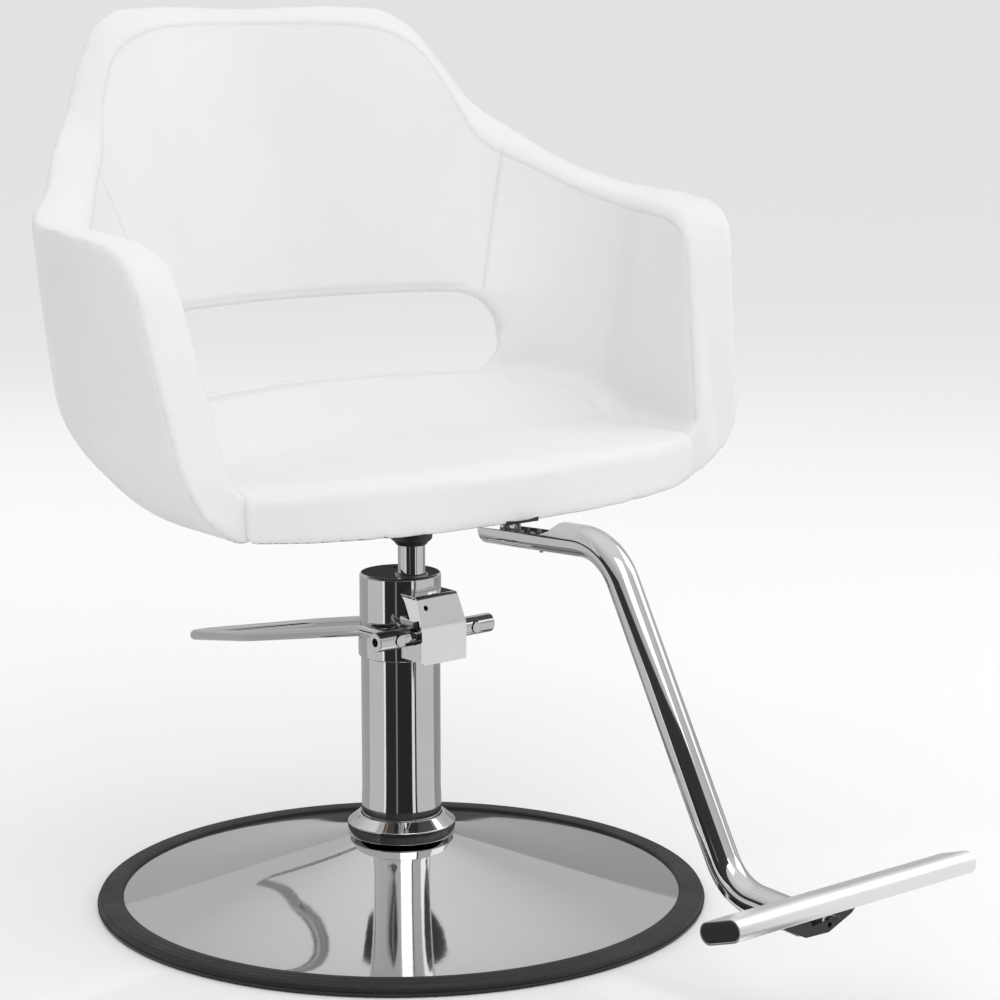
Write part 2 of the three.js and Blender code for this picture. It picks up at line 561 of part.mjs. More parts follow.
function buildSeat() {
  add('shell', shellSolid().subtract(slotTool()), WHITE_VINYL);

  const crowned = (x) =>
    SEAT_FRONT_Y + 6 - SEAT_CROWN * Math.sqrt(Math.max(0, 1 - (x / (SEAM_X + 4)) ** 2));
  const pad = slab(innerOutline(1.6, false, crowned), SEAT_UNDERSIDE, 520);
  const profile = plateYZ(CUSHION_PROFILE, -400, 400);
  const room = block([-400, BOARD_FRONT_Y - 0.6, 400], [400, 300, BOARD_TOP + 0.6]);
  add('seat_cushion', pad.intersect(profile).subtract(room), WHITE_VINYL);
  const board = slab(innerOutline(4, true, () => BOARD_FRONT_Y), SEAT_UNDERSIDE, BOARD_TOP)
    .intersect(block([-252, -300, 400], [252, 300, 440]));

  const boltXY = [[-70, -75], [70, -75], [-70, 60], [70, 60]];
  // A narrow tongue at the front carries the footrest's two studs.
  let plate = slab([[-20, -185], [20, -185], [32, -140], [95, -105], [95, -60], [80, 85],
    [-80, 85], [-95, -60], [-95, -105], [-32, -140]], PLATE_TOP - PLATE_SHEET, PLATE_TOP);
  let drilled = board;
  boltXY.forEach(([x, y], i) => {
    const place = { x, y, facets: SMALL_ROUND };
    const bore = disc(4.4, 400, BOARD_TOP - 3, place);
    plate = plate.subtract(bore);
    drilled = drilled.subtract(bore);
    const low = PLATE_TOP - PLATE_SHEET - FIT;
    add(`seat_bolt_${i + 1}`, disc(4, low, BOARD_TOP - 4, place).add(hexHead(13, low - 5.5, low, x, y)), STEEL);
  });
  add('seat_board', drilled, PLYWOOD);
  add('mount_plate', plate, DARK_STEEL);

  const hubTop = PLATE_TOP - PLATE_SHEET - FIT;
  let hub = turned([[0, 362.5], [18, 362.5], [20, 366], [26, 371], [27, 378], [27, 398], [48, 402],
    [48, hubTop], [0, hubTop]], { y: RAM_Y });
  hub = hub.subtract(disc(RAM_R + FIT, 360, RAM_TOP - 28 + FIT, { y: RAM_Y, facets: 28 }))
    .subtract(turned([[0, RAM_TOP - 28], [RAM_R + FIT, RAM_TOP - 28], [11 + FIT, RAM_TOP - 3.5],
      [0, RAM_TOP - 3.5]], { y: RAM_Y, facets: 28 }));
  add('swivel_hub', hub, DARK_STEEL);
}

// ---------------------------------------------------------------- footrest
function footrestPath() {
  return bentPath([
    { at: [0, -137, 397] },
    { at: [0, -306, 405], radius: 60 },
    { at: [0, -470, 117.5], radius: 55 },
    { at: [0, -640, 108] },
  ]);
}

// The crossbar's flat-oval section, tilted so that its front edge is higher.
function barOutline(grow) {
  const r = BAR_THICK / 2 + grow;
  const run = (BAR_WIDTH - BAR_THICK) / 2;
  const points = [];
  for (let i = 0; i < 18; i++) {
    const turn = ((i < 9 ? i : i - 1) * Math.PI) / 8 - Math.PI / 2;
    const centre = i < 9 ? run : -run;
    const across = centre + r * Math.cos(turn);
    const up = r * Math.sin(turn);
    points.push([BAR_Y + across * Math.cos(BAR_TILT) - up * Math.sin(BAR_TILT),
      BAR_Z + across * Math.sin(BAR_TILT) + up * Math.cos(BAR_TILT)]);
  }
  return points;
}

function buildFootrest() {
  const path = footrestPath();
  let tube = swept(path, TUBE_R, 32, 20).subtract(swept(path, TUBE_R - TUBE_WALL, 32, 20));
  // The top half is cut away where the tube lies under the seat, with a slanted end to the cut.
  const open = plateYZ([[-120, 398], [-225, 403.5], [-262, 440], [-120, 440]], -30, 30);
  // The lower end is cut on a slant that rises to the front, under the crossbar.
  const slant = plateYZ([[-541, 90], [-604, 135], [-700, 135], [-700, 60], [-541, 60]], -30, 30);
  const bar = plateYZ(barOutline(0.4), -30, 30);
  tube = tube.subtract(open).subtract(slant).subtract(bar);
  STUD_Y.forEach((y, i) => {
    const place = { x: 0, y, facets: 12 };
    tube = tube.subtract(disc(3.3, 370, 396, place));
    const floor = 386.8 + i;
    add(`footrest_stud_${i + 1}`, disc(3, 377, PLATE_TOP - PLATE_SHEET - FIT, place), STEEL);
    add(`footrest_nut_${i + 1}`, hexHead(10, floor, floor + 5, 0, y).subtract(disc(3.2, 380, 400, place)), STEEL);
  });
  const screwPlace = { x: 0, y: -212, facets: 12 };
  tube = tube.subtract(disc(2.4, 370, 396, screwPlace));
  add('footrest_screw', disc(2, 384, 388.6, screwPlace).add(hexHead(7, 388.6, 392, 0, -212)), STEEL);
  add('footrest_tube', tube, CHROME);
  // A dark plate closes the slanted end, just inside the tube's wall.
  const plateBand = plateYZ([[-541, 90.5], [-604, 135.5], [-606, 139.5], [-541, 94.5]], -30, 30);
  const core = swept(path, TUBE_R - TUBE_WALL - FIT, 32, 20);
  add('tube_end_plate', core.intersect(plateBand).subtract(plateYZ(barOutline(0.8), -30, 30)), DARK_STEEL);


  const wall = 1.8;
  const outer = plateYZ(barOutline(0), -BAR_HALF, BAR_HALF);
  const inner = plateYZ(barOutline(-wall), -BAR_HALF - 1, BAR_HALF + 1);
  add('footrest_bar', outer.subtract(inner), CHROME);
  for (const side of [-1, 1]) {
    const face = side < 0 ? plateYZ(barOutline(0), -BAR_HALF - CAP_LENGTH, -BAR_HALF - FIT)
      : plateYZ(barOutline(0), BAR_HALF + FIT, BAR_HALF + CAP_LENGTH);
    const plug = side < 0 ? plateYZ(barOutline(-wall - FIT), -BAR_HALF - FIT - 0.01, -BAR_HALF + 14)
      : plateYZ(barOutline(-wall - FIT), BAR_HALF - 14, BAR_HALF + FIT + 0.01);
    add(side < 0 ? 'bar_cap_right' : 'bar_cap_left', face.add(plug), BLACK_PLASTIC);
  }
}

buildBase();
buildPump();
buildRam();
buildPlunger();
buildLever();
buildCover();
buildSeat();
buildFootrest();

export default chair;
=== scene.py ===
"""Looks of the salon styling chair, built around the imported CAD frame. Sizes are in millimetres unless
a comment says otherwise, and become metres when a mesh is made. The chair faces -Y, the sitter's left
is +X."""

import json
import math

import bmesh
import bpy
import numpy as np
from mathutils import Matrix, Vector
from mathutils.kdtree import KDTree


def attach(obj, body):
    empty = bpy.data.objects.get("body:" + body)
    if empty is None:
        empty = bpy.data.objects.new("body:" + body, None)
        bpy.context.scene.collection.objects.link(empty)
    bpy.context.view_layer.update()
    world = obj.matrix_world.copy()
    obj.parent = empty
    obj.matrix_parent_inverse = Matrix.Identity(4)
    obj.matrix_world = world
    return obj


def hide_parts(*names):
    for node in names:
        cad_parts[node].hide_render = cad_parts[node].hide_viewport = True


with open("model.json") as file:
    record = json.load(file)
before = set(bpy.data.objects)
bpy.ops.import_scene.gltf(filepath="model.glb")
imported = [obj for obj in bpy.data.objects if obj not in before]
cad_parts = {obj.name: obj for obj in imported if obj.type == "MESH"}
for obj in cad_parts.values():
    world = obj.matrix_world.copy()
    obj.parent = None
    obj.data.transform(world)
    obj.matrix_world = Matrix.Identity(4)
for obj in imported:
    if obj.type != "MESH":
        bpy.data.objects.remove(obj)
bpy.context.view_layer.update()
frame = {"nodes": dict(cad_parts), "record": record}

MM = 0.001
NODE_SLOT = {row["node"]: row["material_slot"] for row in frame["record"]["subparts"]}

# ------------------------------------------------------------------ mesh helpers
WELD = 1e-6                       # metres
SHARP_ANGLE = 32                  # degrees


def make(name, points, faces):
    """A smooth-shaded mesh object from points in millimetres, with doubled points welded."""
    mesh = bpy.data.meshes.new(name)
    mesh.from_pydata((np.asarray(points, float) * MM).tolist(), [], faces)
    mesh.validate()
    obj = bpy.data.objects.new(name, mesh)
    bpy.context.scene.collection.objects.link(obj)
    bm = bmesh.new()
    bm.from_mesh(mesh)
    bmesh.ops.remove_doubles(bm, verts=bm.verts, dist=WELD)
    bmesh.ops.recalc_face_normals(bm, faces=bm.faces)
    bm.to_mesh(mesh)
    bm.free()
    smooth(obj)
    return obj


def smooth(obj, state=True):
    obj.data.polygons.foreach_set("use_smooth", [state] * len(obj.data.polygons))


def sharpen(obj, degrees=SHARP_ANGLE):
    obj.data.set_sharp_from_angle(angle=math.radians(degrees))
    return obj


def values_of(items, key, width=3, kind=float):
    """One attribute of every mesh item, as an array of rows."""
    flat = np.empty(len(items) * width, kind)
    items.foreach_get(key, flat)
    return flat.reshape(-1, width)


def positions(obj):
    return values_of(obj.data.vertices, "co")


def set_positions(obj, points):
    obj.data.vertices.foreach_set("co", np.ascontiguousarray(points).ravel())
    obj.data.update()


def modify(obj, kind, **settings):
    """Adds a modifier with those settings and applies it."""
    step = obj.modifiers.new(kind.lower(), kind)
    for key, value in settings.items():
        setattr(step, key, value)
    graph = bpy.context.evaluated_depsgraph_get()
    mesh = bpy.data.meshes.new_from_object(obj.evaluated_get(graph))
    obj.modifiers.clear()
    obj.data = mesh
    smooth(obj)


def cut(obj, tool, operation="DIFFERENCE"):
    """Cuts obj with tool, or joins them, and removes the tool."""
    modify(obj, "BOOLEAN", operation=operation, solver="EXACT", object=tool)
    bpy.data.objects.remove(tool)
    return obj


def bevel(obj, width, segments=3, degrees=SHARP_ANGLE):
    modify(obj, "BEVEL", width=width * MM, segments=segments, limit_method="ANGLE",
           angle_limit=math.radians(degrees), harden_normals=False)
    return sharpen(obj, 40)


def ring_faces(rings, count, start=0):
    """Quads between consecutive rings of count points."""
    faces = []
    for i in range(rings - 1):
        for k in range(count):
            a = start + i * count + k
            b = start + i * count + (k + 1) % count
            faces.append((a, b, b + count, a + count))
    return faces


def capped_faces(rings, count):
    """Quads between the rings, and a face over each end."""
    last = (rings - 1) * count
    return ring_faces(rings, count) + [tuple(range(count)), tuple(range(last, last + count))]


def rounded(corners, steps=5):
    """A flat closed outline in which each corner (a, b, radius) is rounded."""
    out = []
    for i in range(len(corners)):
        out += corner_arc(corners, i, steps)
    return out


def corner_arc(corners, i, steps, size=2):
    """Points that round corner i; a corner is its size coordinates and a radius."""
    here = np.array(corners[i][:size], float)
    before = np.array(corners[i - 1][:size], float) - here
    after = np.array(corners[(i + 1) % len(corners)][:size], float) - here
    radius = corners[i][size] if len(corners[i]) > size else 0
    return arc_at(here, before, after, radius, steps)


def arc_at(here, before, after, radius, steps):
    """Points that round the corner at here between two directions."""
    u = before / np.linalg.norm(before)
    v = after / np.linalg.norm(after)
    turn = math.pi - math.acos(float(np.clip(u @ v, -1, 1)))
    if radius <= 0 or turn < 1e-4:
        return [here]
    reach = radius * math.tan(turn / 2)
    middle = (u + v) / np.linalg.norm(u + v)
    centre = here + middle * (radius / math.cos(turn / 2))
    start = here + u * reach - centre
    end = here + v * reach - centre
    points = []
    for k in range(steps + 1):
        share = k / steps
        mix = math.sin((1 - share) * turn) * start + math.sin(share * turn) * end
        points.append(centre + mix / math.sin(turn))
    return points


def circle(radius, count=40):
    turns = [2 * math.pi * k / count for k in range(count)]
    return [(radius * math.cos(t), radius * math.sin(t)) for t in turns]


def hexagon(across):
    return circle(across / math.sqrt(3), 6)


def lathe(name, profile, y=0.0, facets=96):
    """Turns a (radius, z) outline about a vertical axis. An open outline starts and ends on the axis."""
    points = [(a, y + b, z) for r, z in profile for a, b in circle(r, facets)]
    faces = ring_faces(len(profile), facets)
    if profile[0][0] > 0:
        last = (len(profile) - 1) * facets
        for k in range(facets):
            n = (k + 1) % facets
            faces.append((last + k, last + n, n, k))
    return make(name, points, faces)


def prism(name, outline, low, high, axis="x"):
    """An outline given thickness along an axis. Its two coordinates are those of the other axes."""
    at = "xyz".index(axis)
    points = [(*spot[:at], level, *spot[at:]) for level in (low, high) for spot in outline]
    return make(name, points, capped_faces(2, len(outline)))


def cylinder(name, radius, start, end, facets=48, edge=0.0):
    """A round bar between two points, with rounded ends when edge is more than 0."""
    start, end = Vector(start), Vector(end)
    length = (end - start).length
    rows = rounded([(0, 0), (radius, 0, edge), (radius, length, edge), (0, length)], 4)
    obj = lathe(name, rows, facets=facets)
    turn = (end - start).to_track_quat("Z", "Y").to_matrix().to_4x4()
    obj.data.transform(Matrix.Translation(start * MM) @ turn)
    return sharpen(obj)


def pin(name, radius, start, end, y, z, facets=48, edge=0.0):
    """A round bar along X."""
    return cylinder(name, radius, (start, y, z), (end, y, z), facets, edge)


def post(name, radius, x, y, low, high, facets=48, edge=0.0):
    """A round bar along Z."""
    return cylinder(name, radius, (x, y, low), (x, y, high), facets, edge)


def band(side, near, far):
    """Low and high X of a thing that lies between two distances from the middle, on one side."""
    return sorted((side * near, side * far))


def sided(name, side):
    return f"{name}_{'left' if side > 0 else 'right'}"


def path_points(corners, gap):
    """Straight runs joined by arcs, from (x, y, z, radius) corners, with points about gap apart."""
    line = [np.array(corners[0][:3], float)]
    for i in range(1, len(corners) - 1):
        line += corner_arc(corners, i, 14, 3)
    line.append(np.array(corners[-1][:3], float))
    dense = [line[0]]
    for a, b in zip(line, line[1:]):
        parts = max(1, int(np.linalg.norm(b - a) / gap))
        dense += [a + (b - a) * (k + 1) / parts for k in range(parts)]
    return np.array(dense)


def sweep(name, line, section):
    """Carries a closed section (list of (across, up)) along a line of points."""
    tangents = np.gradient(line, axis=0)
    tangents /= np.linalg.norm(tangents, axis=1)[:, None]
    side = np.cross(tangents[0], (0.0, 0.0, 1.0))
    points = []
    for point, t in zip(line, tangents):
        side = side - t * (side @ t)
        side /= np.linalg.norm(side)
        up = np.cross(side, t)
        points += [point + side * a + up * b for a, b in section]
    return make(name, points, capped_faces(len(line), len(section)))


# ------------------------------------------------------------------ materials


def material(name):
    mat = bpy.data.materials.new(name)
    mat.use_nodes = True
    tree = mat.node_tree
    return mat, tree, tree.nodes["Principled BSDF"]


def node(tree, kind, **settings):
    made = tree.nodes.new(kind)
    for key, value in settings.items():
        if key in made.inputs:
            made.inputs[key].default_value = value
        else:
            setattr(made, key, value)
    return made


def noise(tree, scale, detail=3.0):
    place_in = node(tree, "ShaderNodeTexCoord")
    made = node(tree, "ShaderNodeTexNoise", Scale=scale, Detail=detail, Roughness=0.55)
    tree.links.new(place_in.outputs["Object"], made.inputs["Vector"])
    return made.outputs["Fac"]


def spread(tree, value, low, high, start=0.3, end=0.7):
    """Maps a texture value onto a range."""
    made = node(tree, "ShaderNodeMapRange")
    for key, number in zip(("From Min", "From Max", "To Min", "To Max"), (start, end, low, high)):
        made.inputs[key].default_value = number
    tree.links.new(value, made.inputs["Value"])
    return made.outputs["Result"]


def mixed(tree, factor, first, second):
    made = node(tree, "ShaderNodeMix", data_type="RGBA")
    made.inputs[6].default_value = (*first, 1)
    made.inputs[7].default_value = (*second, 1)
    tree.links.new(factor, made.inputs[0])
    return made.outputs[2]


def darkened(tree, factor, base, tint):
    made = node(tree, "ShaderNodeMix", data_type="RGBA", blend_type="MULTIPLY")
    made.inputs[7].default_value = (*tint, 1)
    tree.links.new(factor, made.inputs[0])
    tree.links.new(base, made.inputs[6])
    return made.outputs[2]


def bumped(tree, shader, heights):
    """Chains bump nodes: heights is a list of (output, strength, distance)."""
    last = None
    for height, strength, distance in heights:
        made = node(tree, "ShaderNodeBump", Strength=strength, Distance=distance)
        tree.links.new(height, made.inputs["Height"])
        if last:
            tree.links.new(last, made.inputs["Normal"])
        last = made.outputs["Normal"]
    tree.links.new(last, shader.inputs["Normal"])


def worn(name, scale, detail, dark, light, rough):
    """A material whose tint and roughness both follow one cloudy texture."""
    mat, tree, shader = material(name)
    wear = noise(tree, scale, detail)
    tree.links.new(mixed(tree, wear, dark, light), shader.inputs["Base Color"])
    tree.links.new(spread(tree, wear, *rough), shader.inputs["Roughness"])
    return mat, tree, shader, wear


def chrome(name="chromed_steel", tone=0.60, rough=(0.03, 0.085)):
    low, high = tone - 0.03, tone + 0.03
    mat, tree, shader, smudge = worn(name, 14.0, 4.0, (low, low, low * 1.01), (high, high, high), rough)
    shader.inputs["Metallic"].default_value = 1.0
    bumped(tree, shader, [(smudge, 0.03, 0.002), (noise(tree, 420.0, 2.0), 0.012, 0.0004)])
    return mat


def plain_metal(name, dark, light, rough):
    mat, tree, shader = worn(name, 60.0, 5.0, dark, light, rough)[:3]
    shader.inputs["Metallic"].default_value = 1.0
    bumped(tree, shader, [(noise(tree, 900.0, 2.0), 0.08, 0.0004)])
    return mat


def coated(name, dark, light, rough, grain, strength):
    """Paint, plastic, cloth or rubber with a fine grain and a little dust."""
    mat, tree, shader = worn(name, 18.0, 5.0, dark, light, rough)[:3]
    bumped(tree, shader, [(noise(tree, grain), strength, 0.0006)])
    return mat


def plywood():
    mat, tree, shader = material("plywood")
    place_in = node(tree, "ShaderNodeTexCoord")
    stretch = node(tree, "ShaderNodeMapping")
    stretch.inputs["Scale"].default_value = (14.0, 2.0, 90.0)
    tree.links.new(place_in.outputs["Object"], stretch.inputs["Vector"])
    grain = node(tree, "ShaderNodeTexNoise", Scale=6.0, Detail=8.0)
    tree.links.new(stretch.outputs["Vector"], grain.inputs["Vector"])
    tint = mixed(tree, grain.outputs["Fac"], (0.36, 0.23, 0.12), (0.66, 0.49, 0.30))
    tree.links.new(tint, shader.inputs["Base Color"])
    shader.inputs["Roughness"].default_value = 0.7
    bumped(tree, shader, [(grain.outputs["Fac"], 0.2, 0.0008)])
    return mat


def vinyl():
    """White upholstery vinyl: pebbled grain, soft sheen, and seams drawn from the seam attribute, with
    painted shade darkening the colour along the seams.
    """
    mat, tree, shader = material("white_upholstery")
    place_in = node(tree, "ShaderNodeTexCoord")
    cells = node(tree, "ShaderNodeTexVoronoi", Scale=620.0, feature="SMOOTH_F1")
    tree.links.new(place_in.outputs["Object"], cells.inputs["Vector"])
    pull = noise(tree, 26.0, 4.0)
    seam = node(tree, "ShaderNodeAttribute", attribute_name="seam_distance")
    apart = node(tree, "ShaderNodeMath", operation="ABSOLUTE")
    tree.links.new(seam.outputs["Fac"], apart.inputs[0])
    crease = spread(tree, apart.outputs[0], 1.0, 0.0, 0.0, 0.0019)
    seam_shade = spread(tree, apart.outputs[0], 1.0, 0.0, 0.0, 0.006)
    tint = mixed(tree, noise(tree, 5.0), (0.80, 0.795, 0.81), (0.86, 0.86, 0.87))
    # Painted shade: the colour is darkened within 6 mm of a seam, and more within 1.9 mm, standing in for the
    # shade that falls into the seam grooves.
    tint = darkened(tree, seam_shade, tint, (0.955, 0.95, 0.95))
    tint = darkened(tree, crease, tint, (0.89, 0.885, 0.88))
    tree.links.new(tint, shader.inputs["Base Color"])
    tree.links.new(spread(tree, pull, 0.36, 0.5), shader.inputs["Roughness"])
    shader.inputs["Specular IOR Level"].default_value = 0.42
    shader.inputs["Subsurface Weight"].default_value = 0.04
    shader.inputs["Subsurface Radius"].default_value = (0.004, 0.004, 0.004)
    bumped(tree, shader, [(cells.outputs["Distance"], 0.16, 0.0004), (pull, 0.10, 0.0015),
                          (crease, -0.6, 0.0006)])
    return mat


MATERIALS = {
    "chromed_steel": chrome(),
    "plain_steel": plain_metal("plain_steel", (0.42, 0.42, 0.43), (0.62, 0.62, 0.62), (0.28, 0.42)),
    "blackened_steel": coated("blackened_steel", (0.012, 0.012, 0.013), (0.03, 0.03, 0.032),
                              (0.28, 0.42), 700.0, 0.12),
    "ballast_iron": coated("ballast_iron", (0.05, 0.05, 0.052), (0.11, 0.11, 0.11), (0.6, 0.85), 160.0, 0.6),
    "ring_rubber": coated("ring_rubber", (0.010, 0.010, 0.010), (0.022, 0.022, 0.022),
                          (0.5, 0.7), 500.0, 0.18),
    "black_plastic": coated("black_plastic", (0.012, 0.012, 0.012), (0.03, 0.03, 0.03),
                            (0.42, 0.6), 800.0, 0.2),
    "white_upholstery": vinyl(),
    "plywood": plywood(),
}


# Finishes that only some of the chromed pieces have, and the dark cloth under the seat, whose darkness is
# partly painted shade for the shaded underside.
SATIN = chrome("satin_chrome", 0.95, (0.27, 0.34))
BRIGHT = chrome("bright_chrome", 0.82, (0.04, 0.10))
DISH = chrome("dish_chrome", 0.64, (0.025, 0.06))
# Painted shade: a dark cloth on the seat's flat underside, which also stands in for the shade under the seat
# that the dish mirrors.
UNDERSIDE_SHADE_CLOTH = coated("dust_cover", (0.10, 0.10, 0.10), (0.16, 0.16, 0.16), (0.85, 0.95), 900.0, 0.5)


def place(obj, look=None):
    """Hands a visual piece, X_looks, to the frame: it stands for CAD node X and moves with its body."""
    part = obj.name.removesuffix("_looks")
    slot = NODE_SLOT[part]
    bodies = frame["record"]["behaviour"]["bodies"]
    body = next(name for name, members in bodies.items() if part in members)
    obj.data.materials.clear()
    obj.data.materials.append(look or MATERIALS[slot])
    if slot != "white_upholstery":
        flat = obj.modifiers.new("normals", "WEIGHTED_NORMAL")
        flat.weight = 100
        flat.keep_sharp = True
    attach(obj, body)
    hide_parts(part)


# ------------------------------------------------------------------ base
BASE_R = 305.0
RING_INNER_R = 279.0
DISH_TOP = 67.0
DISH_HOLE_R = 41.0
DISH_EDGE_R = 290.0
DISH_EDGE_Z = 8.6


def dish_height(r):
    part = (r - DISH_HOLE_R) / (DISH_EDGE_R - DISH_HOLE_R)
    return DISH_EDGE_Z + (DISH_TOP - DISH_EDGE_Z) * (1 - part) ** 1.25


def floor_ring():
    """Rubber edge strip with fine ridges that run all the way round."""
    outline = [(RING_INNER_R, 0.6), (BASE_R - 2.5, 0.0), (BASE_R - 0.4, 1.6), (BASE_R, 4.5)]
    ridges = 5
    for k in range(ridges * 6 + 1):
        share = k / (ridges * 6)
        lean = share * math.pi / 2
        r = BASE_R - 1.0 - 20.0 * (1 - math.cos(lean)) ** 1.15
        z = 5.0 + 8.2 * math.sin(lean) ** 0.8
        z -= 0.75 * abs(math.cos(math.pi * ridges * share)) ** 6
        outline.append((r, z))
    outline += [(RING_INNER_R + 3, 12.6), (RING_INNER_R + 0.8, 11.8), (RING_INNER_R, 10.2)]
    ring = lathe("floor_ring_looks", outline, facets=256)
    place(sharpen(ring, 60))


def base_dish():
    radii = np.linspace(DISH_HOLE_R, DISH_EDGE_R - 1.0, 40)
    top = [(r, dish_height(r)) for r in radii]
    edge = [(DISH_EDGE_R, DISH_EDGE_Z - 0.8), (DISH_EDGE_R - 0.6, DISH_EDGE_Z - 1.8)]
    under = [(r, z - 2.0) for r, z in reversed(top)]
    place(sharpen(lathe("base_dish_looks", top + edge + under, facets=256), 50), look=DISH)


def column():
    collar = rounded([(40.6, 67.2, 0), (54.0, 67.2, 0.8), (54.0, 79.0, 1.6), (51.5, 81.0, 2.0),
                      (43.5, 87.6, 1.5), (40.6, 87.6, 0.6)])
    place(sharpen(lathe("column_collar_looks", collar, facets=192), 50))
    tube = [(36.5, 18.0), (39.5, 18.0), (39.5, 80.0), (40.2, 96.0), (39.9, 104.0), (39.5, 116.0),
            (39.5, 249.2), (39.2, 249.7), (36.5, 249.7)]
    place(sharpen(lathe("pump_column_looks", tube, facets=192), 40))


# ------------------------------------------------------------------ pump
HEAD_LOW = 250.0
HEAD_TOP = 333.0
FILLER_X = 9.0
FILLER_Y = 20.0
RAM_Y = -18.0
RAM_R = 13.5
SHAFT_Y = -51.0
SHAFT_Z = 280.0
SHAFT_R = 9.5
SHAFT_HALF = 72.0
LEG_X = 48.0
LEVER_FALL = 0.201                # drop of the lever per length behind the column's middle


def pump_head():
    """The head: a round block with two ears for the shaft, bored for the ram, the shaft and the filler."""
    profile = [(0.0, HEAD_LOW)]
    profile += arc_at(np.array((42.0, HEAD_LOW)), np.array((-1.0, 0)), np.array((0, 1.0)), 1.0, 4)
    profile += [(42.0, 266.0), (41.4, 271.0), (40.6, 277.0)]
    profile += arc_at(np.array((40.5, HEAD_TOP)), np.array((0, -1.0)), np.array((-1.0, 0)), 2.6, 6)
    profile += [(0.0, HEAD_TOP)]
    head = lathe("pump_head_looks", profile, facets=160)
    ear = [(-63.5, 255), (-63.5, 293), (-30, 297), (-30, 255)]
    for side in (-1, 1):
        cut(head, prism("ear", ear, *band(side, 14.0, 25.5)), "UNION")
    cut(head, prism("pocket", [(-70, 256.5), (-34, 256.5), (-34, 299), (-70, 299)], -11, 11))
    cut(head, post("bore", RAM_R + 0.5, 0, RAM_Y, 240, 340))
    cut(head, post("seat", 17.0, 0, RAM_Y, HEAD_TOP - 9, 340))
    cut(head, pin("shaft_bore", SHAFT_R + 0.3, -60, 60, SHAFT_Y, SHAFT_Z))
    cut(head, post("filler_bore", 5.4, FILLER_X, FILLER_Y, HEAD_TOP - 12, 340))
    place(bevel(head, 0.6, 2, 38))


def ram_gland():
    bore = RAM_R + 0.4
    gland = rounded([(bore, HEAD_TOP - 8, 0), (16.5, HEAD_TOP - 8, 0), (16.5, HEAD_TOP + 1.5, 1.0),
                     (15.2, HEAD_TOP + 1.5, 0.5), (bore, HEAD_TOP + 0.3, 0)])
    place(sharpen(lathe("ram_gland_looks", gland, y=RAM_Y)))


def oil_filler_screw():
    screw = post("oil_filler_screw_looks", 5.0, FILLER_X, FILLER_Y, HEAD_TOP - 11.7, HEAD_TOP - 0.4, 48, 0.6)
    key = [(FILLER_X + a, FILLER_Y + b) for a, b in hexagon(4.2)]
    place(sharpen(cut(screw, prism("socket", key, HEAD_TOP - 4, HEAD_TOP + 1, "z"))))


def ram():
    rows = [(0, 96), (13.2, 96), (RAM_R, 96.4), (RAM_R, 368), (11, 391.6), (0, 392)]
    place(sharpen(lathe("ram_looks", rows, y=RAM_Y)))


def swivel_hub():
    """Rounded hub on the ram's top, with a flange under the mounting plate."""
    rows = [(0, 363.2), (14.6, 363.2), (15.6, 364.0), (16.8, 366.0), (19.6, 368.2), (20.6, 369.6),
            (20.8, 372.0), (20.8, 396), (23, 399.5), (46.8, 401.5), (48, 402.8), (48, 407.3), (0, 407.3)]
    hub = lathe("swivel_hub_looks", rows, y=RAM_Y, facets=128)
    cut(hub, post("bore", RAM_R + 0.4, 0, RAM_Y, 350, 392.3))
    place(sharpen(hub, 40))


def lever_line():
    """Middle line of the lever: two legs from the shaft that meet in a narrow loop behind the column."""
    def drop(y):
        return SHAFT_Z - y * LEVER_FALL
    right = [(LEG_X, -62, SHAFT_Z, 0), (LEG_X, 0, SHAFT_Z, 40), (LEG_X, 196, drop(196), 160),
             (7.2, 352, drop(352), 5.0)]
    left = [(-x, y, z, r) for x, y, z, r in reversed(right)]
    return path_points(right + left, 12.0)


def lever():
    """Bent rod through a cross shaft, held by a set screw in each end of the shaft."""
    rod = sweep("lever_rod_looks", lever_line(), circle(5.5, 36))
    place(bevel(rod, 0.7, 3, 60))
    shaft = pin("lever_shaft_looks", SHAFT_R, -SHAFT_HALF, SHAFT_HALF, SHAFT_Y, SHAFT_Z, 96, 1.0)
    outline = [(SHAFT_Y + a, SHAFT_Z + b) for a, b in hexagon(4.4)]
    for side in (-1, 1):
        x = side * LEG_X
        cut(shaft, cylinder("cross", 6.0, (x, -80, SHAFT_Z), (x, -20, SHAFT_Z)))
        cut(shaft, pin("thread", 4.4, side * 53.6, side * 80, SHAFT_Y, SHAFT_Z))
        name = sided("lever_set_screw", side)
        screw = pin(name + "_looks", 4.0, side * 54.3, side * 69.5, SHAFT_Y, SHAFT_Z, 32, 0.5)
        place(sharpen(cut(screw, prism("key", outline, *band(side, 64.5, 71)))))
    cut(shaft, prism("flat", [(-44.6, 268), (-30, 268), (-30, 292), (-44.6, 292)], -8, 8))
    place(bevel(shaft, 0.35, 2, 40))


COVER_SCREW_Y = -58.0
COVER_SCREW_Z = 291.5
COVER_WALL_IN = 23.6
COVER_WALL_OUT = 25.4


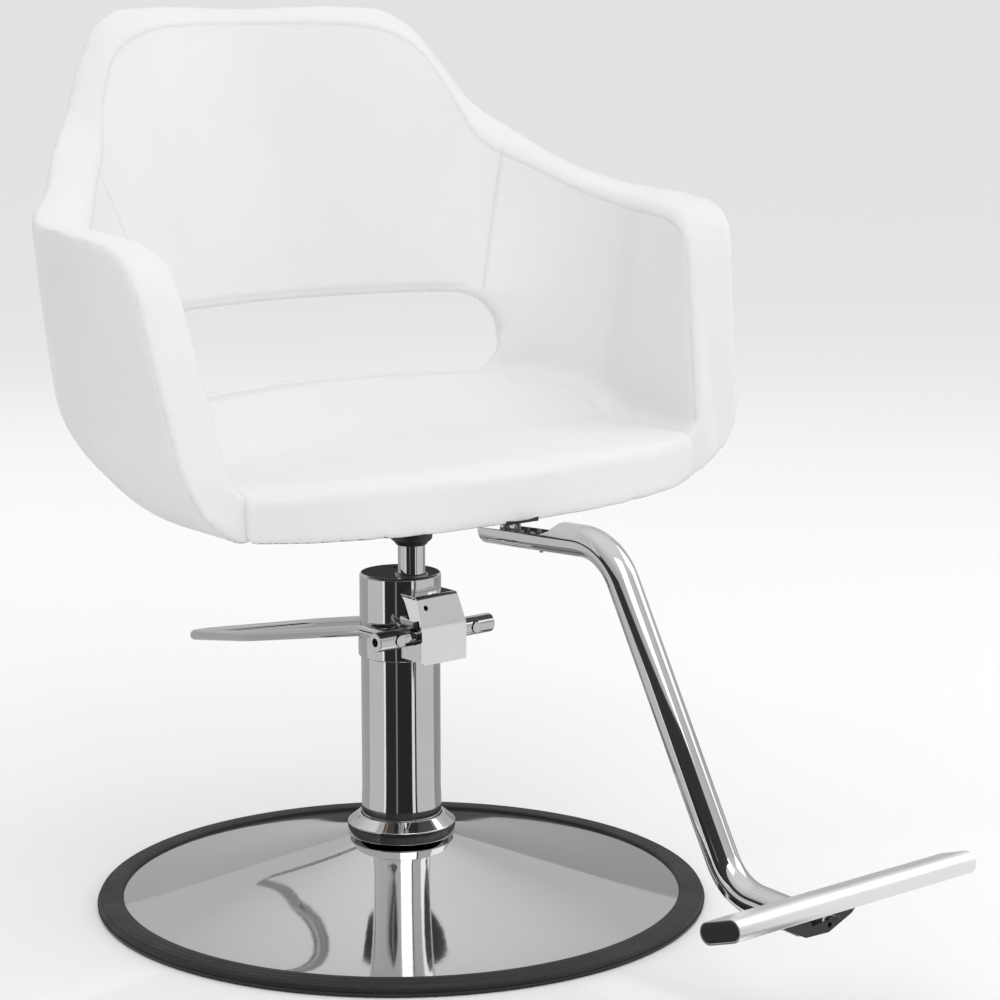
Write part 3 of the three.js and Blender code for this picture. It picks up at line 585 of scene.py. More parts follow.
def pump_cover():
    """Bent chromed sheet: upright front, a face that slopes back above it, a top lip and two side walls."""
    skin = [(-69, 253.2), (-68.6, 286), (-67.9, 290.5), (-66.2, 295.2), (-58.3, 315.6), (-57.0, 317.9),
            (-54.6, 319.2), (-30, 319.4), (-30, 317.8), (-54.2, 317.5), (-55.8, 316.6), (-56.7, 314.8),
            (-64.3, 294.6), (-66.0, 290.2), (-66.7, 286), (-67.1, 253.2)]
    body = prism("pump_cover_looks", skin, -28.4, 28.4)
    # The front tapers: it is widest at the bend, and its top and bottom corners are drawn in.
    front = rounded([(-26.0, 252, 3), (-28.3, 289, 6), (-25.4, 320, 3), (25.4, 320, 3), (28.3, 289, 6),
                     (27.4, 252, 3)])
    cut(body, prism("front", front, -80, 0, "y"), "INTERSECT")
    cut(body, cylinder("hole", 2.6, (-17, -80, 308), (-17, -40, 308), 32))
    cut(body, post("head_room", 41.0, 0, 0, 250, 340, 96))
    bevel(body, 0.55, 3, 40)
    for side in (-1, 1):
        cut(body, cover_wall(side), "UNION")
    place(sharpen(body, 30), look=BRIGHT)
    for side in (-1, 1):
        cover_screw(side)


def cover_wall(side):
    wall = [(-66.6, 254.5), (-66.2, 289.5), (-56.4, 316.0), (-34.5, 317.0), (-39.2, 311), (-50, 288),
            (-50.8, 254.5)]
    flank = prism("flank", wall, *band(side, COVER_WALL_IN, COVER_WALL_OUT))
    cut(flank, pin("shaft_hole", SHAFT_R + 1.2, -40, 40, SHAFT_Y, SHAFT_Z, 64))
    cut(flank, pin("screw_hole", 2.3, side * 10, side * 40, COVER_SCREW_Y, COVER_SCREW_Z, 24))
    return bevel(flank, 0.4, 2, 40)


def cover_screw(side):
    """Screw with a slotted head that holds one side wall to the pump head's ear."""
    name = sided("cover_screw", side)
    screw = pin(name + "_looks", 4.0, side * 25.8, side * 28, COVER_SCREW_Y, COVER_SCREW_Z, 40, 0.8)
    cut(screw, pin("shank", 2.0, side * 19, side * 26.5, COVER_SCREW_Y, COVER_SCREW_Z, 24), "UNION")
    slot = [(-63, 291), (-53, 291), (-53, 292), (-63, 292)]
    place(sharpen(cut(screw, prism("slot", slot, *band(side, 27.3, 30)))))


# ------------------------------------------------------------------ footrest
TUBE_R = 15.0
TUBE_HALF_WIDTH = 30.0            # half the width of the tools that cut the tube
BAR_Y = -598.0
BAR_Z = 145.0
BAR_HALF = 143.0
BAR_TILT = math.radians(-18)
STUD_YS = (-162, -178)


def bar_outline(grow, steps=16):
    """The bar's section: a flat oval, tilted, grown by an amount all round."""
    r = 10.0 + grow
    points = []
    for centre, base in ((14.0, -math.pi / 2), (-14.0, math.pi / 2)):
        for k in range(steps + 1):
            turn = base + math.pi * k / steps
            across = centre + r * math.cos(turn)
            up = r * math.sin(turn)
            points.append((BAR_Y + across * math.cos(BAR_TILT) - up * math.sin(BAR_TILT),
                           BAR_Z + across * math.sin(BAR_TILT) + up * math.cos(BAR_TILT)))
    return points


def tube_line():
    return path_points([(0, -137, 397, 0), (0, -306, 405, 60), (0, -470, 117.5, 55), (0, -640, 108, 0)], 15.0)


def across_tube(name, outline):
    """A tool or a piece that reaches over the tube's whole width."""
    return prism(name, outline, -TUBE_HALF_WIDTH, TUBE_HALF_WIDTH)


def footrest():
    """Bent tube under the seat, the plate and gusset at its foot, and the crossbar with its two caps."""
    line = tube_line()
    longer = np.vstack([line[0] - (line[1] - line[0]), line, line[-1] + (line[-1] - line[-2])])
    footrest_tube(line, longer)
    tube_end_plate(longer)
    bar = prism("footrest_bar_looks", bar_outline(0), -BAR_HALF - 2.6, BAR_HALF + 2.6)
    cut(bar, prism("inside", bar_outline(-1.8), -200, 200))
    place(bevel(bar, 0.4, 2, 40), look=SATIN)
    for side in (-1, 1):
        name = sided("bar_cap", side)
        face = prism(name + "_looks", bar_outline(-2.0), *band(side, BAR_HALF + 0.3, BAR_HALF + 3.0))
        bevel(face, 1.1, 3, 40)
        cut(face, prism("plug", bar_outline(-2.2), *band(side, BAR_HALF - 14, BAR_HALF + 1.5)), "UNION")
        place(sharpen(face))


def footrest_tube(line, longer):
    """Round tube, cut open on top under the seat and cut on a slant at its foot, where the bar sits."""
    tube = sweep("footrest_tube_looks", line, circle(TUBE_R, 48))
    cut(tube, sweep("hollow", longer, circle(TUBE_R - 2, 48)))
    cut(tube, across_tube("open_top", [(-120, 398), (-223, 403.5), (-236, 409), (-262, 440), (-120, 440)]))
    cut(tube, across_tube("slant", [(-541, 90), (-604, 135), (-700, 135), (-700, 60), (-541, 60)]))
    cut(tube, across_tube("bar_seat", bar_outline(0.2)))
    for y in STUD_YS:
        cut(tube, post("stud_hole", 3.4, 0, y, 370, 396, 24))
    place(bevel(tube, 0.35, 2, 40))


def tube_end_plate(longer):
    """Plate that closes the tube's slanted foot, with a gusset that stands out to both sides."""
    plate = sweep("tube_end_plate_looks", longer, circle(TUBE_R - 2.2, 40))
    keep = [(-541, 90.6), (-604, 135.6), (-606, 139.4), (-541, 94.4)]
    cut(plate, across_tube("keep", keep), "INTERSECT")
    cut(plate, across_tube("bar_seat", bar_outline(0.8)))
    wing = rounded([(-54, 127, 2), (-47, 120, 6), (-22, 108, 5), (6, 107, 5), (34, 118, 6), (44, 126, 2),
                    (38, 131.5, 1), (-46, 131.5, 1)])
    gusset = prism("gusset", wing, -578, -552, "y")
    cut(gusset, cylinder("hole", 2.4, (7, -590, 113.5), (7, -540, 113.5), 32))
    cut(plate, bevel(gusset, 0.8, 3, 40), "UNION")
    place(sharpen(plate, 30))


def footrest_fixings():
    """Two studs with nuts through the tube, and a hexagon screw in front of them."""
    for i, y in enumerate(STUD_YS):
        stud = post(f"footrest_stud_{i + 1}_looks", 3.0, 0, y, 384.6 + i * 0.7, 407.4, 32, 0.5)
        place(stud)
        low = 386.8 + i
        nut = prism(f"footrest_nut_{i + 1}_looks", [(a, y + b) for a, b in hexagon(10)], low, low + 5, "z")
        cut(nut, post("bore", 3.2, 0, y, 380, 400, 32))
        place(bevel(nut, 0.5, 2, 30))
    screw = prism("footrest_screw_looks", [(a, -212 + b) for a, b in hexagon(7)], 388.6, 392, "z")
    cut(bevel(screw, 0.6, 2, 30), post("shank", 2.0, 0, -212, 384, 390, 24), "UNION")
    place(sharpen(screw))


# ------------------------------------------------------------------ upholstery
UNDERSIDE = 412.0
SEAT_LEVEL = 460.0
WALL_REF_Z = 588.0
SLOT_LOW = 509.0
SLOT_HIGH = 588.0
SLOT_HALF = 212.0
SLOT_CORNER = 38.0
SLOT_ROLL_IN = 6.0                # radius of the slot's edge, in front and behind
SLOT_ROLL_OUT = 13.0
ARM_RUN = 88.0                    # distance along the arm from station 4 to station 5
END_ROUND_IN = 13.0               # radius of the arm's front edge, inside and outside
END_ROUND_OUT = 7.0

# Values along the wall, from the middle of the back (0) to the arm's front (5).
THICKNESS = [(0, 44), (1, 44), (2, 44), (3, 53), (4, 59), (5, 59)]
INNER_RIM = [(0, 873), (1, 869.5), (1.38, 849), (1.6, 812), (1.9, 757), (2.35, 727), (2.8, 702),
             (3.3, 689), (4, 684), (4.55, 677), (4.85, 662), (5, 640)]
RIM_TILT = [(0, 10), (1, 17), (1.2, 24), (1.4, 26), (1.8, 31), (2.05, 28), (2.4, 12), (3, 7), (4, 6), (5, 1)]
RIM_THIN = [(0, 14), (1, 15), (1.6, 18), (2, 12), (2.3, 8), (2.7, 6), (3, 2), (4, 0), (5, 0)]
RIM_ROUND = [(0, 7), (1.4, 8), (2, 10), (3, 14), (5, 14)]
CORNER_IN = [(0, 98), (1, 102), (2, 122), (3, 130), (4, 102), (5, 73)]
CORNER_UP = [(0, 100), (1, 105), (2, 126), (3, 130), (4, 106), (5, 78)]
CORNER_CUT = [(0, 1.2), (2, 1.4), (3, 1.4), (4, 1.3), (5, 1.2)]
FOOT_IN = [(0, 52), (1, 60), (2, 37), (2.6, 20), (3, 18), (4, 24), (5, 11.5)]
FILLET = [(0, 8), (1, 8), (2, 14), (2.6, 24), (3, 26), (4, 22), (5, 22)]


def curve(points, s):
    """Smooth curve through (position, value) pairs, for an array of positions."""
    xs = np.array([p[0] for p in points], float)
    ys = np.array([p[1] for p in points], float)
    slopes = np.array([(ys[min(k + 1, len(ys) - 1)] - ys[max(k - 1, 0)])
                       / (xs[min(k + 1, len(xs) - 1)] - xs[max(k - 1, 0)]) for k in range(len(xs))])
    s = np.asarray(s, float)
    i = np.clip(np.searchsorted(xs, s, side="right") - 1, 0, len(xs) - 2)
    span = xs[i + 1] - xs[i]
    w = (s - xs[i]) / span
    return (ys[i] * (1 + 2 * w) * (1 - w) ** 2 + slopes[i] * span * w * (1 - w) ** 2
            + ys[i + 1] * w * w * (3 - 2 * w) + slopes[i + 1] * span * w * w * (w - 1))


def stations(z):
    """Plan stations of the wall's inner face at heights z, mirrored station first: shape (7, n, 2)."""
    rise = np.maximum(z, SEAT_LEVEL) - WALL_REF_Z
    cx = np.where(rise > 0, 0.27, 0.06)
    cy = np.where(rise > 0, 0.25, 0.14)
    zero = np.zeros_like(rise)
    rows = [
        (zero, 182 + 0.19 * rise),
        (zero + 130, 158 + 0.21 * rise),
        (200 + cx * rise, 112 + cy * rise),
        (303 + 0.15 * rise, zero + 50),
        (314 + 0.14 * rise, zero - 10),
        (301 + 0.135 * rise, -97 + 0.235 * rise),
    ]
    rows.insert(0, (-rows[1][0], rows[1][1]))
    return np.array([np.stack(row, -1) for row in rows])


def plan(t, z):
    table = stations(z)
    t = np.clip(t, 0, 5) + 1
    i = np.minimum(t.astype(int), 5)
    w = (t - i)[:, None]
    n = np.arange(len(t))
    a, b, c = table[i - 1, n], table[i, n], table[np.minimum(i + 1, 6), n]
    d = table[np.minimum(i + 2, 6), n]
    return b + 0.5 * w * (c - a + w * (2 * a - 5 * b + 4 * c - d + w * (3 * (b - c) + d - a)))


def wall_points(s, z, out):
    """Points at stations s (negative on the right), heights z, and distances out of the inner face."""
    s, z, out = np.broadcast_arrays(np.atleast_1d(s).astype(float), z, out)
    side = np.where(s < 0, -1.0, 1.0)
    t = np.abs(s)
    here = plan(t, z)
    along = plan(np.minimum(t + 0.01, 5), z) - plan(np.maximum(t - 0.01, 0), z)
    along /= np.linalg.norm(along, axis=1)[:, None]
    x = here[:, 0] - out * along[:, 1]
    y = here[:, 1] + out * along[:, 0]
    return np.stack([side * x, y, z], -1)


CREST_Y = [(0, 115), (60, 108), (126, 88), (171, 74), (205, 70), (300, 66)]
CREST_REACH = 88.0                # how far in front of the crest the seat starts to rise


def seat_top(x, y):
    """Height of the seat's upper face: gently crowned, curling up at the back to the lip under the slot."""
    across = np.abs(x)
    crest = curve(CREST_Y, np.minimum(across, 300))
    part = np.clip((y - crest + CREST_REACH) / CREST_REACH, 0, 1)
    lift = 49.0 * part ** 2 * (1.6 - 0.6 * part)
    behind = np.clip((y - crest - 6) / 100, 0, 1.4)
    lift = lift - 20.0 * behind ** 1.4
    crown = 3.5 * (1 - (across / 290) ** 2) * np.clip((y + 185) / 90, 0, 1) * (1 - part)
    return 459.0 + lift + crown


def at(points, s):
    """One value of a curve."""
    return float(curve(points, [s])[0])


def end_inset(distance, radius):
    """How far a face is drawn in near a rounded end."""
    left = max(0.0, radius - distance)
    return radius - math.sqrt(max(0.0, radius * radius - left * left))


def shell_loop(s):
    """The wall's section at station s as (out, z) points, from the outer rim down and back up inside."""
    t = abs(s)
    from_end = (5 - t) * ARM_RUN
    inner = end_inset(from_end, END_ROUND_IN)
    inset_out = end_inset(from_end, END_ROUND_OUT)
    outer = at(THICKNESS, t) - inset_out
    rim = at(INNER_RIM, t) - inner * 0.8
    rim_out = outer - at(RIM_THIN, t)
    outer_rim = rim + at(RIM_TILT, t)
    crown = [(rim_out, outer_rim - 60, 0), (rim_out, outer_rim, 5.0),
             ((rim_out + inner) / 2, (rim + outer_rim) / 2 + 2.5, 0.0),
             (inner, rim, at(RIM_ROUND, t)), (inner, rim - 60, 0)]
    top = corner_arc(crown, 1, 6) + corner_arc(crown, 2, 6) + corner_arc(crown, 3, 6)
    top_corner = UNDERSIDE + at(CORNER_UP, t)
    middle = (outer_rim + top_corner) / 2
    rows = []
    for share in np.linspace(0.02, 1, 40):
        z = top[0][1] + (top_corner - top[0][1]) * share
        above = max(0.0, (z - middle) / (outer_rim - middle))
        rows.append((outer - (outer - rim_out) * above ** 1.3, z))
    for turn in np.linspace(0, math.pi / 2, 18)[1:]:
        draw = 1 - math.cos(turn) ** at(CORNER_CUT, t)
        rows.append((outer - (at(CORNER_IN, t) - inset_out) * draw,
                     top_corner - at(CORNER_UP, t) * math.sin(turn)))
    rows += foot_rows(s, rows[-1][0], inner)
    start = rows[-1][1]
    for share in np.linspace(0, 1, 42)[1:-1]:
        rows.append((inner, start + (top[-1][1] - start) * share))
    return rows + list(reversed(top))


def foot_rows(s, last, inner):
    """The section's part under the seat: along the underside, up the foot, and the fillet into the wall."""
    t = abs(s)
    foot = at(FOOT_IN, t)
    deep = max(foot, at(CORNER_IN, t) - at(THICKNESS, t) + 3)
    spot = wall_points(s, SEAT_LEVEL, -foot)[0]
    foot_top = min(float(seat_top(spot[0], spot[1])), 508.0) - 2.0
    rows = [(min(last, -deep + 3) - 1.0, UNDERSIDE), (-deep - 1, UNDERSIDE + 8),
            (-foot - 0.5, UNDERSIDE + 26), (-foot, foot_top - 7), (-foot + 0.8, foot_top - 3),
            (-foot + 3, foot_top - 0.6)]
    start = np.array((-foot + 5, foot_top))
    end = np.array((inner, foot_top + at(FILLET, t)))
    for turn in np.linspace(0, math.pi / 2, 9):
        rows.append((start[0] + (end[0] - start[0]) * math.sin(turn),
                     end[1] - (end[1] - start[1]) * math.cos(turn)))
    return rows


def shell_solid():
    """The shell's wall, without its slot, from the right arm round the back to the left arm."""
    half = list(np.linspace(0, 4.8, 92))
    half += [5 - 14 * (1 - math.sin(a)) / ARM_RUN for a in np.linspace(0.05, math.pi / 2, 9)]
    half[0] = 1e-9
    every = [-s for s in reversed(half[1:])] + half
    points = []
    for s in every:
        loop = np.array(shell_loop(s))
        points.append(wall_points(np.full(len(loop), s), loop[:, 1], loop[:, 0]))
    return make("shell_looks", np.vstack(points), capped_faces(len(every), len(points[0])))


def slot_outline(grow_sides, grow_low):
    """Outline of the slot in the X-Z plane, grown by one amount at its top and ends and another below."""
    points = []
    right = SLOT_HALF - SLOT_CORNER
    low, high = SLOT_LOW + SLOT_CORNER, SLOT_HIGH - SLOT_CORNER
    for x, z, start in ((right, low, -90), (right, high, 0), (-right, high, 90), (-right, low, 180)):
        for k in range(17):
            turn = math.radians(start + 90 * k / 16)
            nx, nz = math.cos(turn), math.sin(turn)
            weight = min(1.0, max(0.0, (nz + 0.9) / 0.6))
            grow = grow_low + (grow_sides - grow_low) * weight
            points.append((x + (SLOT_CORNER + grow) * nx, z + (SLOT_CORNER + grow) * nz))
    dense = []
    for i, a in enumerate(points):
        b = points[(i + 1) % len(points)]
        parts = max(1, int(math.hypot(b[0] - a[0], b[1] - a[1]) / 8))
        dense += [(a[0] + (b[0] - a[0]) * k / parts, a[1] + (b[1] - a[1]) * k / parts) for k in range(parts)]
    return dense


def face_y(x, z, out_share):
    """Depth of the wall's inner (0) or outer (1) face at a given x and height."""
    s = np.linspace(0, 2.9, 60)
    line = wall_points(s, np.full(60, z), out_share * curve(THICKNESS, s))
    return float(np.interp(abs(x), line[:, 0], line[:, 1]))


def slot_tool():
    """The slot's hollow. Its edges are rolled, its ends splay and its lower edge falls toward the rear."""
    roll = np.linspace(0, math.pi / 2, 7)
    inner = [((1 - math.cos(a)) * SLOT_ROLL_IN, 1 - math.sin(a)) for a in roll]
    outer = [((1 - math.cos(a)) * SLOT_ROLL_OUT, 1 - math.sin(a)) for a in roll]
    levels = [(depth, 0, grow) for depth, grow in [(-90.0, 1.3)] + inner]
    levels += [(depth, 1, grow) for depth, grow in reversed([(-60.0, 1.3)] + outer)]
    points = []
    count = len(slot_outline(0, 0))
    for depth, face, grow in levels:
        radius = SLOT_ROLL_OUT if face else SLOT_ROLL_IN
        fall = 22.0 + grow * radius if face else 2.0
        for x, z in resample(slot_outline(grow * radius, fall), count):
            near = face_y(x, z, 0)
            y = face_y(x, z, 1) - depth if face else near + depth
            splay = 1 + max(0.0, y - near) * 0.75 / SLOT_HALF
            points.append((x * splay, y, z))
    return make("slot_tool", points, capped_faces(len(levels), count))


def resample(outline, count):
    """The same closed outline with count evenly spread points."""
    line = np.array(outline + [outline[0]])
    run = np.concatenate([[0], np.cumsum(np.linalg.norm(np.diff(line, axis=0), axis=1))])
    want = np.linspace(0, run[-1], count, endpoint=False)
    return list(zip(np.interp(want, run, line[:, 0]), np.interp(want, run, line[:, 1])))


def remesh(obj, size):
    modify(obj, "REMESH", mode="VOXEL", voxel_size=size * MM)
    bm = bmesh.new()
    bm.from_mesh(obj.data)
    drop_scraps(bm)
    bm.to_mesh(obj.data)
    bm.free()
    relax(obj)


def drop_scraps(bm):
    """Keeps the largest connected part, and removes loose scraps that a cut can leave."""
    left = set(bm.verts)
    parts = []
    while left:
        part = [left.pop()]
        for vert in part:
            for edge in vert.link_edges:
                other = edge.other_vert(vert)
                if other in left:
                    left.remove(other)
                    part.append(other)
        parts.append(part)
    parts.sort(key=len)
    for part in parts[:-1]:
        bmesh.ops.delete(bm, geom=part, context="VERTS")


def relax(obj):
    """Evens out the remeshed surface: each smoothing step is followed by one that swells it back."""
    bm = bmesh.new()
    bm.from_mesh(obj.data)
    for factor in (0.5, -0.515) * 3:
        bmesh.ops.smooth_vert(bm, verts=bm.verts, factor=factor, use_axis_x=True, use_axis_y=True,
                              use_axis_z=True)
    bm.to_mesh(obj.data)
    bm.free()
    smooth(obj)


def mesh_edges(obj):
    return values_of(obj.data.edges, "vertices", 2, int)


def even_out(values, pairs, rounds):
    """Averages a per-point value with its neighbours, several times over."""
    count = np.bincount(pairs.ravel(), minlength=len(values))[:, None] + 1.0
    for k in range(rounds):
        total = values.copy()
        np.add.at(total, pairs[:, 0], values[pairs[:, 1]])
        np.add.at(total, pairs[:, 1], values[pairs[:, 0]])
        values = total / count
    return values


def ease(obj, centre, reach, rounds):
    """Softens the surface round a point and its mirror image, where the wall turns tightly under the seat."""
    spots = positions(obj)
    away = np.hstack([np.abs(spots[:, :1]), spots[:, 1:]]) / MM - np.array(centre)
    weight = np.clip(1.6 - 1.6 * np.linalg.norm(away, axis=1) / reach, 0, 1)[:, None]
    pairs = mesh_edges(obj)
    for k in range(rounds):
        spots = spots + (even_out(spots, pairs, 1) - spots) * weight
    set_positions(obj, spots)


CLOTH = {"quality": 4, "mass": 0.4, "tension_stiffness": 20, "compression_stiffness": 20,
         "shear_stiffness": 8, "bending_stiffness": 1.5, "air_damping": 4, "use_pressure": True}
CLOTH_FRAMES = 20
PUFF_LIMIT = 3.0                  # the most that the cover moves


def puff(obj, pressure, held):
    """A short cloth simulation with inner pressure, so the cover fills as padding does."""
    start = positions(obj)
    cloth = obj.modifiers.new("cloth", "CLOTH")
    settings = cloth.settings
    for key, value in CLOTH.items():
        setattr(settings, key, value)
    settings.uniform_pressure_force = pressure
    settings.effector_weights.gravity = 0
    cloth.collision_settings.use_collision = False
    cloth.point_cache.frame_start = 1
    cloth.point_cache.frame_end = CLOTH_FRAMES
    group = obj.vertex_groups.new(name="held")
    for index in np.nonzero(held > 0.02)[0]:
        group.add([int(index)], float(held[index]), "REPLACE")
    settings.vertex_group_mass = "held"
    scene = bpy.context.scene
    for number in range(1, CLOTH_FRAMES + 1):
        scene.frame_set(number)
    graph = bpy.context.evaluated_depsgraph_get()
    moved = values_of(obj.evaluated_get(graph).to_mesh().vertices, "co")
    obj.modifiers.clear()
    obj.vertex_groups.clear()
    scene.frame_set(1)
    shift = even_out(moved - start, mesh_edges(obj), 14)
    length = np.linalg.norm(shift, axis=1)
    limit = PUFF_LIMIT * MM
    scale = np.where(length > limit, limit / np.maximum(length, 1e-9), 1.0)
    set_positions(obj, start + shift * scale[:, None])


def subdivide(obj):
    modify(obj, "SUBSURF", levels=1, render_levels=1)


SEAM_REACH = 0.012                # metres: beyond it a point counts as far from any seam


def seam_lines():
    """Each seam as points along it in metres: the band's two edges, the corner seams, the slot's seam."""
    lines = []
    s = np.linspace(-4.93, 4.93, 1200)
    t = np.abs(s)
    inner = curve(INNER_RIM, t) - curve(RIM_ROUND, t) * 0.9
    outer = curve(INNER_RIM, t) + curve(RIM_TILT, t) - 3
    edge_in = np.array([end_inset((5 - k) * ARM_RUN, END_ROUND_IN) for k in t])
    lines.append(wall_points(s, inner - edge_in * 0.5, edge_in * 0.9))
    lines.append(wall_points(s, outer - edge_in * 0.5, curve(THICKNESS, t) - curve(RIM_THIN, t)))
    for side in (-1, 1):
        arm_front = np.linspace(at(INNER_RIM, 4.9) - 6, 470, 200)
        lines.append(wall_points(side * 4.93, arm_front, 2.0))
        lines.append(outer_front_edge(side))
        back_corner = np.linspace(at(INNER_RIM, 2.06) - 9, 592, 160)
        lines.append(wall_points(side * np.linspace(2.12, 2.02, 160), back_corner, 0.0))
        rear_panel = np.linspace(at(INNER_RIM, 2.2) + 10, UNDERSIDE + 115, 200)
        lines.append(wall_points(side * 2.2, rear_panel, 47.5))
    x = np.linspace(-SLOT_HALF + 26, SLOT_HALF - 26, 420)
    y = [face_y(k, SLOT_HIGH + 8, 0) for k in x]
    lines.append(np.stack([x, y, np.full(420, SLOT_HIGH + 8)], -1))
    return [line * MM for line in lines]


def outer_front_edge(side):
    """The seam down the outer front edge of an arm and round its lower corner."""
    s = 4.95
    out = at(THICKNESS, s) - 1.5
    corner_up = at(CORNER_UP, s)
    rows = [(out, z) for z in np.linspace(at(INNER_RIM, s) - 8, UNDERSIDE + corner_up, 160)]
    for turn in np.linspace(0, math.pi / 2, 90):
        draw = 1 - math.cos(turn) ** 1.2
        rows.append((out - at(CORNER_IN, s) * draw, UNDERSIDE + corner_up * (1 - math.sin(turn)) + 1))
    rows = np.array(rows)
    return wall_points(side * s, rows[:, 1], rows[:, 0])


def seam_distance(points, lines, reach=SEAM_REACH):
    """Distance from each point to the nearest seam, capped at reach."""
    spots = np.vstack(lines)
    tree = KDTree(len(spots))
    for k, point in enumerate(spots):
        tree.insert(point, k)
    tree.balance()
    return np.array([min(tree.find(p)[2], reach) for p in points])


def carve(obj, distance, depth, width):
    """Draws the skin in along the seams, and stores the distance for the material."""
    dent = depth * MM * np.exp(-(distance / (width * MM)) ** 2)
    set_positions(obj, positions(obj) - values_of(obj.data.vertex_normals, "vector") * dent[:, None])
    store(obj, distance)


def store(obj, distance):
    attribute = obj.data.attributes.new("seam_distance", "FLOAT", "POINT")
    attribute.data.foreach_set("value", distance.astype(np.float32))


def finish_padded(obj):
    """Places a padded piece, with a dark cloth on its flat underside whose darkness is partly painted shade
    under the seat.
    """
    place(obj)
    obj.data.materials.append(UNDERSIDE_SHADE_CLOTH)
    for face in obj.data.polygons:
        if face.normal.z < -0.85 and face.center.z < (UNDERSIDE + 4) * MM:
            face.material_index = 1


def shell():
    body = shell_solid()
    cut(body, slot_tool())
    remesh(body, 5.0)
    ease(body, (190, 112, 430), 85.0, 70)
    lines = seam_lines()
    held = np.clip(1.2 - seam_distance(positions(body), lines, 0.03) / 0.012, 0, 1)
    held[positions(body)[:, 2] < (UNDERSIDE + 3) * MM] = 1.0
    puff(body, 0.8, held)
    subdivide(body)
    carve(body, seam_distance(positions(body), lines), 0.7, 1.5)
    finish_padded(body)


def seat_outline():
    """Plan of the seat pad: front edge, arm creases, and over the lip to the back of the slot."""
    front = [(0, -177.5), (50, -176.5), (114, -173.5), (176, -168), (229, -155), (272, -132.5), (277, -131.5)]
    side = []
    for s in np.linspace(4.9, 2.1, 30):
        x, y = wall_points(s, SEAT_LEVEL, 5.0 - at(FOOT_IN, s))[0][:2]
        if x > 193:
            side.append((min(x, 300.0), y))
    lip = [(190, 104), (189, 130), (184, face_y(184, 500, 1) - 6.0)]
    back = [(x, face_y(x, 500, 1) - 3.0) for x in (170, 140, 100, 50, 0)]
    half = front + side + lip + back
    return np.array(resample(half + [(-x, y) for x, y in reversed(half[1:-1])], 520))


PAD_CENTRE = np.array([0.0, -10.0])
PAD_LOW = UNDERSIDE + 0.4
PAD_REAR_LOW = 476.0              # height of the lower edge behind the arms
PAD_FRONT_X = 272.0               # half the width over which the front's lower edge bows
PAD_SHARES = [*np.linspace(0.04, 0.9, 26), 0.93, 0.95, 0.965, 0.978, 0.988, 0.996, 1.0]


def blurred(values, rounds):
    """Values round a closed outline, each averaged with its neighbours."""
    for k in range(rounds):
        values = (np.roll(values, 1) + values + np.roll(values, -1)) / 3
    return values


def seat_pad_points():
    """The pad's centre on top, its rings over the top, down the side and underneath, and its centre below."""
    outline = seat_outline()
    arm = outline - PAD_CENTRE
    reach = np.linalg.norm(arm, axis=1)
    front = outline[:, 1] < -126
    rear = outline[:, 1] > 128
    radius = blurred(np.where(front, 15.0, np.where(rear, 10.0, 2.5)), 6)
    points = [(*PAD_CENTRE, float(seat_top(*PAD_CENTRE)))]
    for share in PAD_SHARES:
        spot = PAD_CENTRE + arm * share
        left = np.clip(radius - reach * (1 - share), 0, None)
        drop = radius - np.sqrt(np.clip(radius ** 2 - left ** 2, 0, None))
        points += np.column_stack([spot, seat_top(spot[:, 0], spot[:, 1]) - drop]).tolist()
    edge = seat_top(outline[:, 0], outline[:, 1]) - radius
    middle = np.where(front, np.clip(1 - (outline[:, 0] / PAD_FRONT_X) ** 2, 0, 1), 0.0)
    low = PAD_LOW + (PAD_REAR_LOW - PAD_LOW) * np.clip((outline[:, 1] - 30) / 65, 0, 1) - 4.5 * middle
    tuck = blurred(np.where(front | rear, 1.0, 14.0), 3)
    for share, draw in ((0.2, 0.0), (0.4, 0.0), (0.6, 0.0), (0.8, 0.0), (0.9, 0.6), (0.97, 2.0), (1.0, 4.5)):
        spot = outline - arm / reach[:, None] * (draw * tuck + 6.0 * share * (tuck - 1) / 13)[:, None]
        spot[:, 1] -= 10.0 * middle * share
        points += np.column_stack([spot, edge + (low - edge) * share]).tolist()
    points += [(x, y, PAD_LOW) for x, y in PAD_CENTRE + arm * 0.62]
    points.append((*PAD_CENTRE, PAD_LOW))
    return points, len(outline)


def seat_pad():
    points, count = seat_pad_points()
    rings = (len(points) - 2) // count
    faces = ring_faces(rings, count, 1)
    last = 1 + (rings - 1) * count
    for k in range(count):
        n = (k + 1) % count
        faces.append((0, 1 + n, 1 + k))
        faces.append((last + k, last + n, len(points) - 1))
    pad = make("seat_cushion_looks", points, faces)
    remesh(pad, 4.5)
    puff(pad, 2.0, np.clip(1.5 - (positions(pad)[:, 2] - 0.44) / 0.01, 0, 1))
    subdivide(pad)
    store(pad, np.full(len(pad.data.vertices), SEAM_REACH))
    finish_padded(pad)


def seat_board():
    """Plywood board inside the cushion, bored for the four bolts of the mounting plate."""
    plan_view = rounded([(-196, -122, 30), (196, -122, 30), (190, 0, 30), (96, 76, 16), (-96, 76, 16),
                         (-190, 0, 30)])
    board = prism("seat_board_looks", plan_view, 413.2, 427.6, "z")
    for x, y in ((-70, -75), (70, -75), (-70, 60), (70, 60)):
        cut(board, post("bore", 4.4, x, y, 400, 425, 32))
    place(bevel(board, 0.8, 2, 40))


# ------------------------------------------------------------------ studio
# Cards round the chair: start and end in degrees from the camera's side, and how bright each is.
CARDS = [(-178, -100, 0.5), (-100, -47, 0.75), (-47, -42, 1.3), (-42, -12, 0.035), (-12, -8, 0.30),
         (-8, 33, 0.03), (33, 41, 1.1), (41, 46, 0.05), (46, 110, 0.78), (110, 178, 0.4)]
CARD_START = 318.0
CARD_REACH = 900.0
CARD_HEIGHT = 300.0
CARD_TOP = 620.0
CARD_DARK = 0.05
FLOOR_HALF = 600000.0


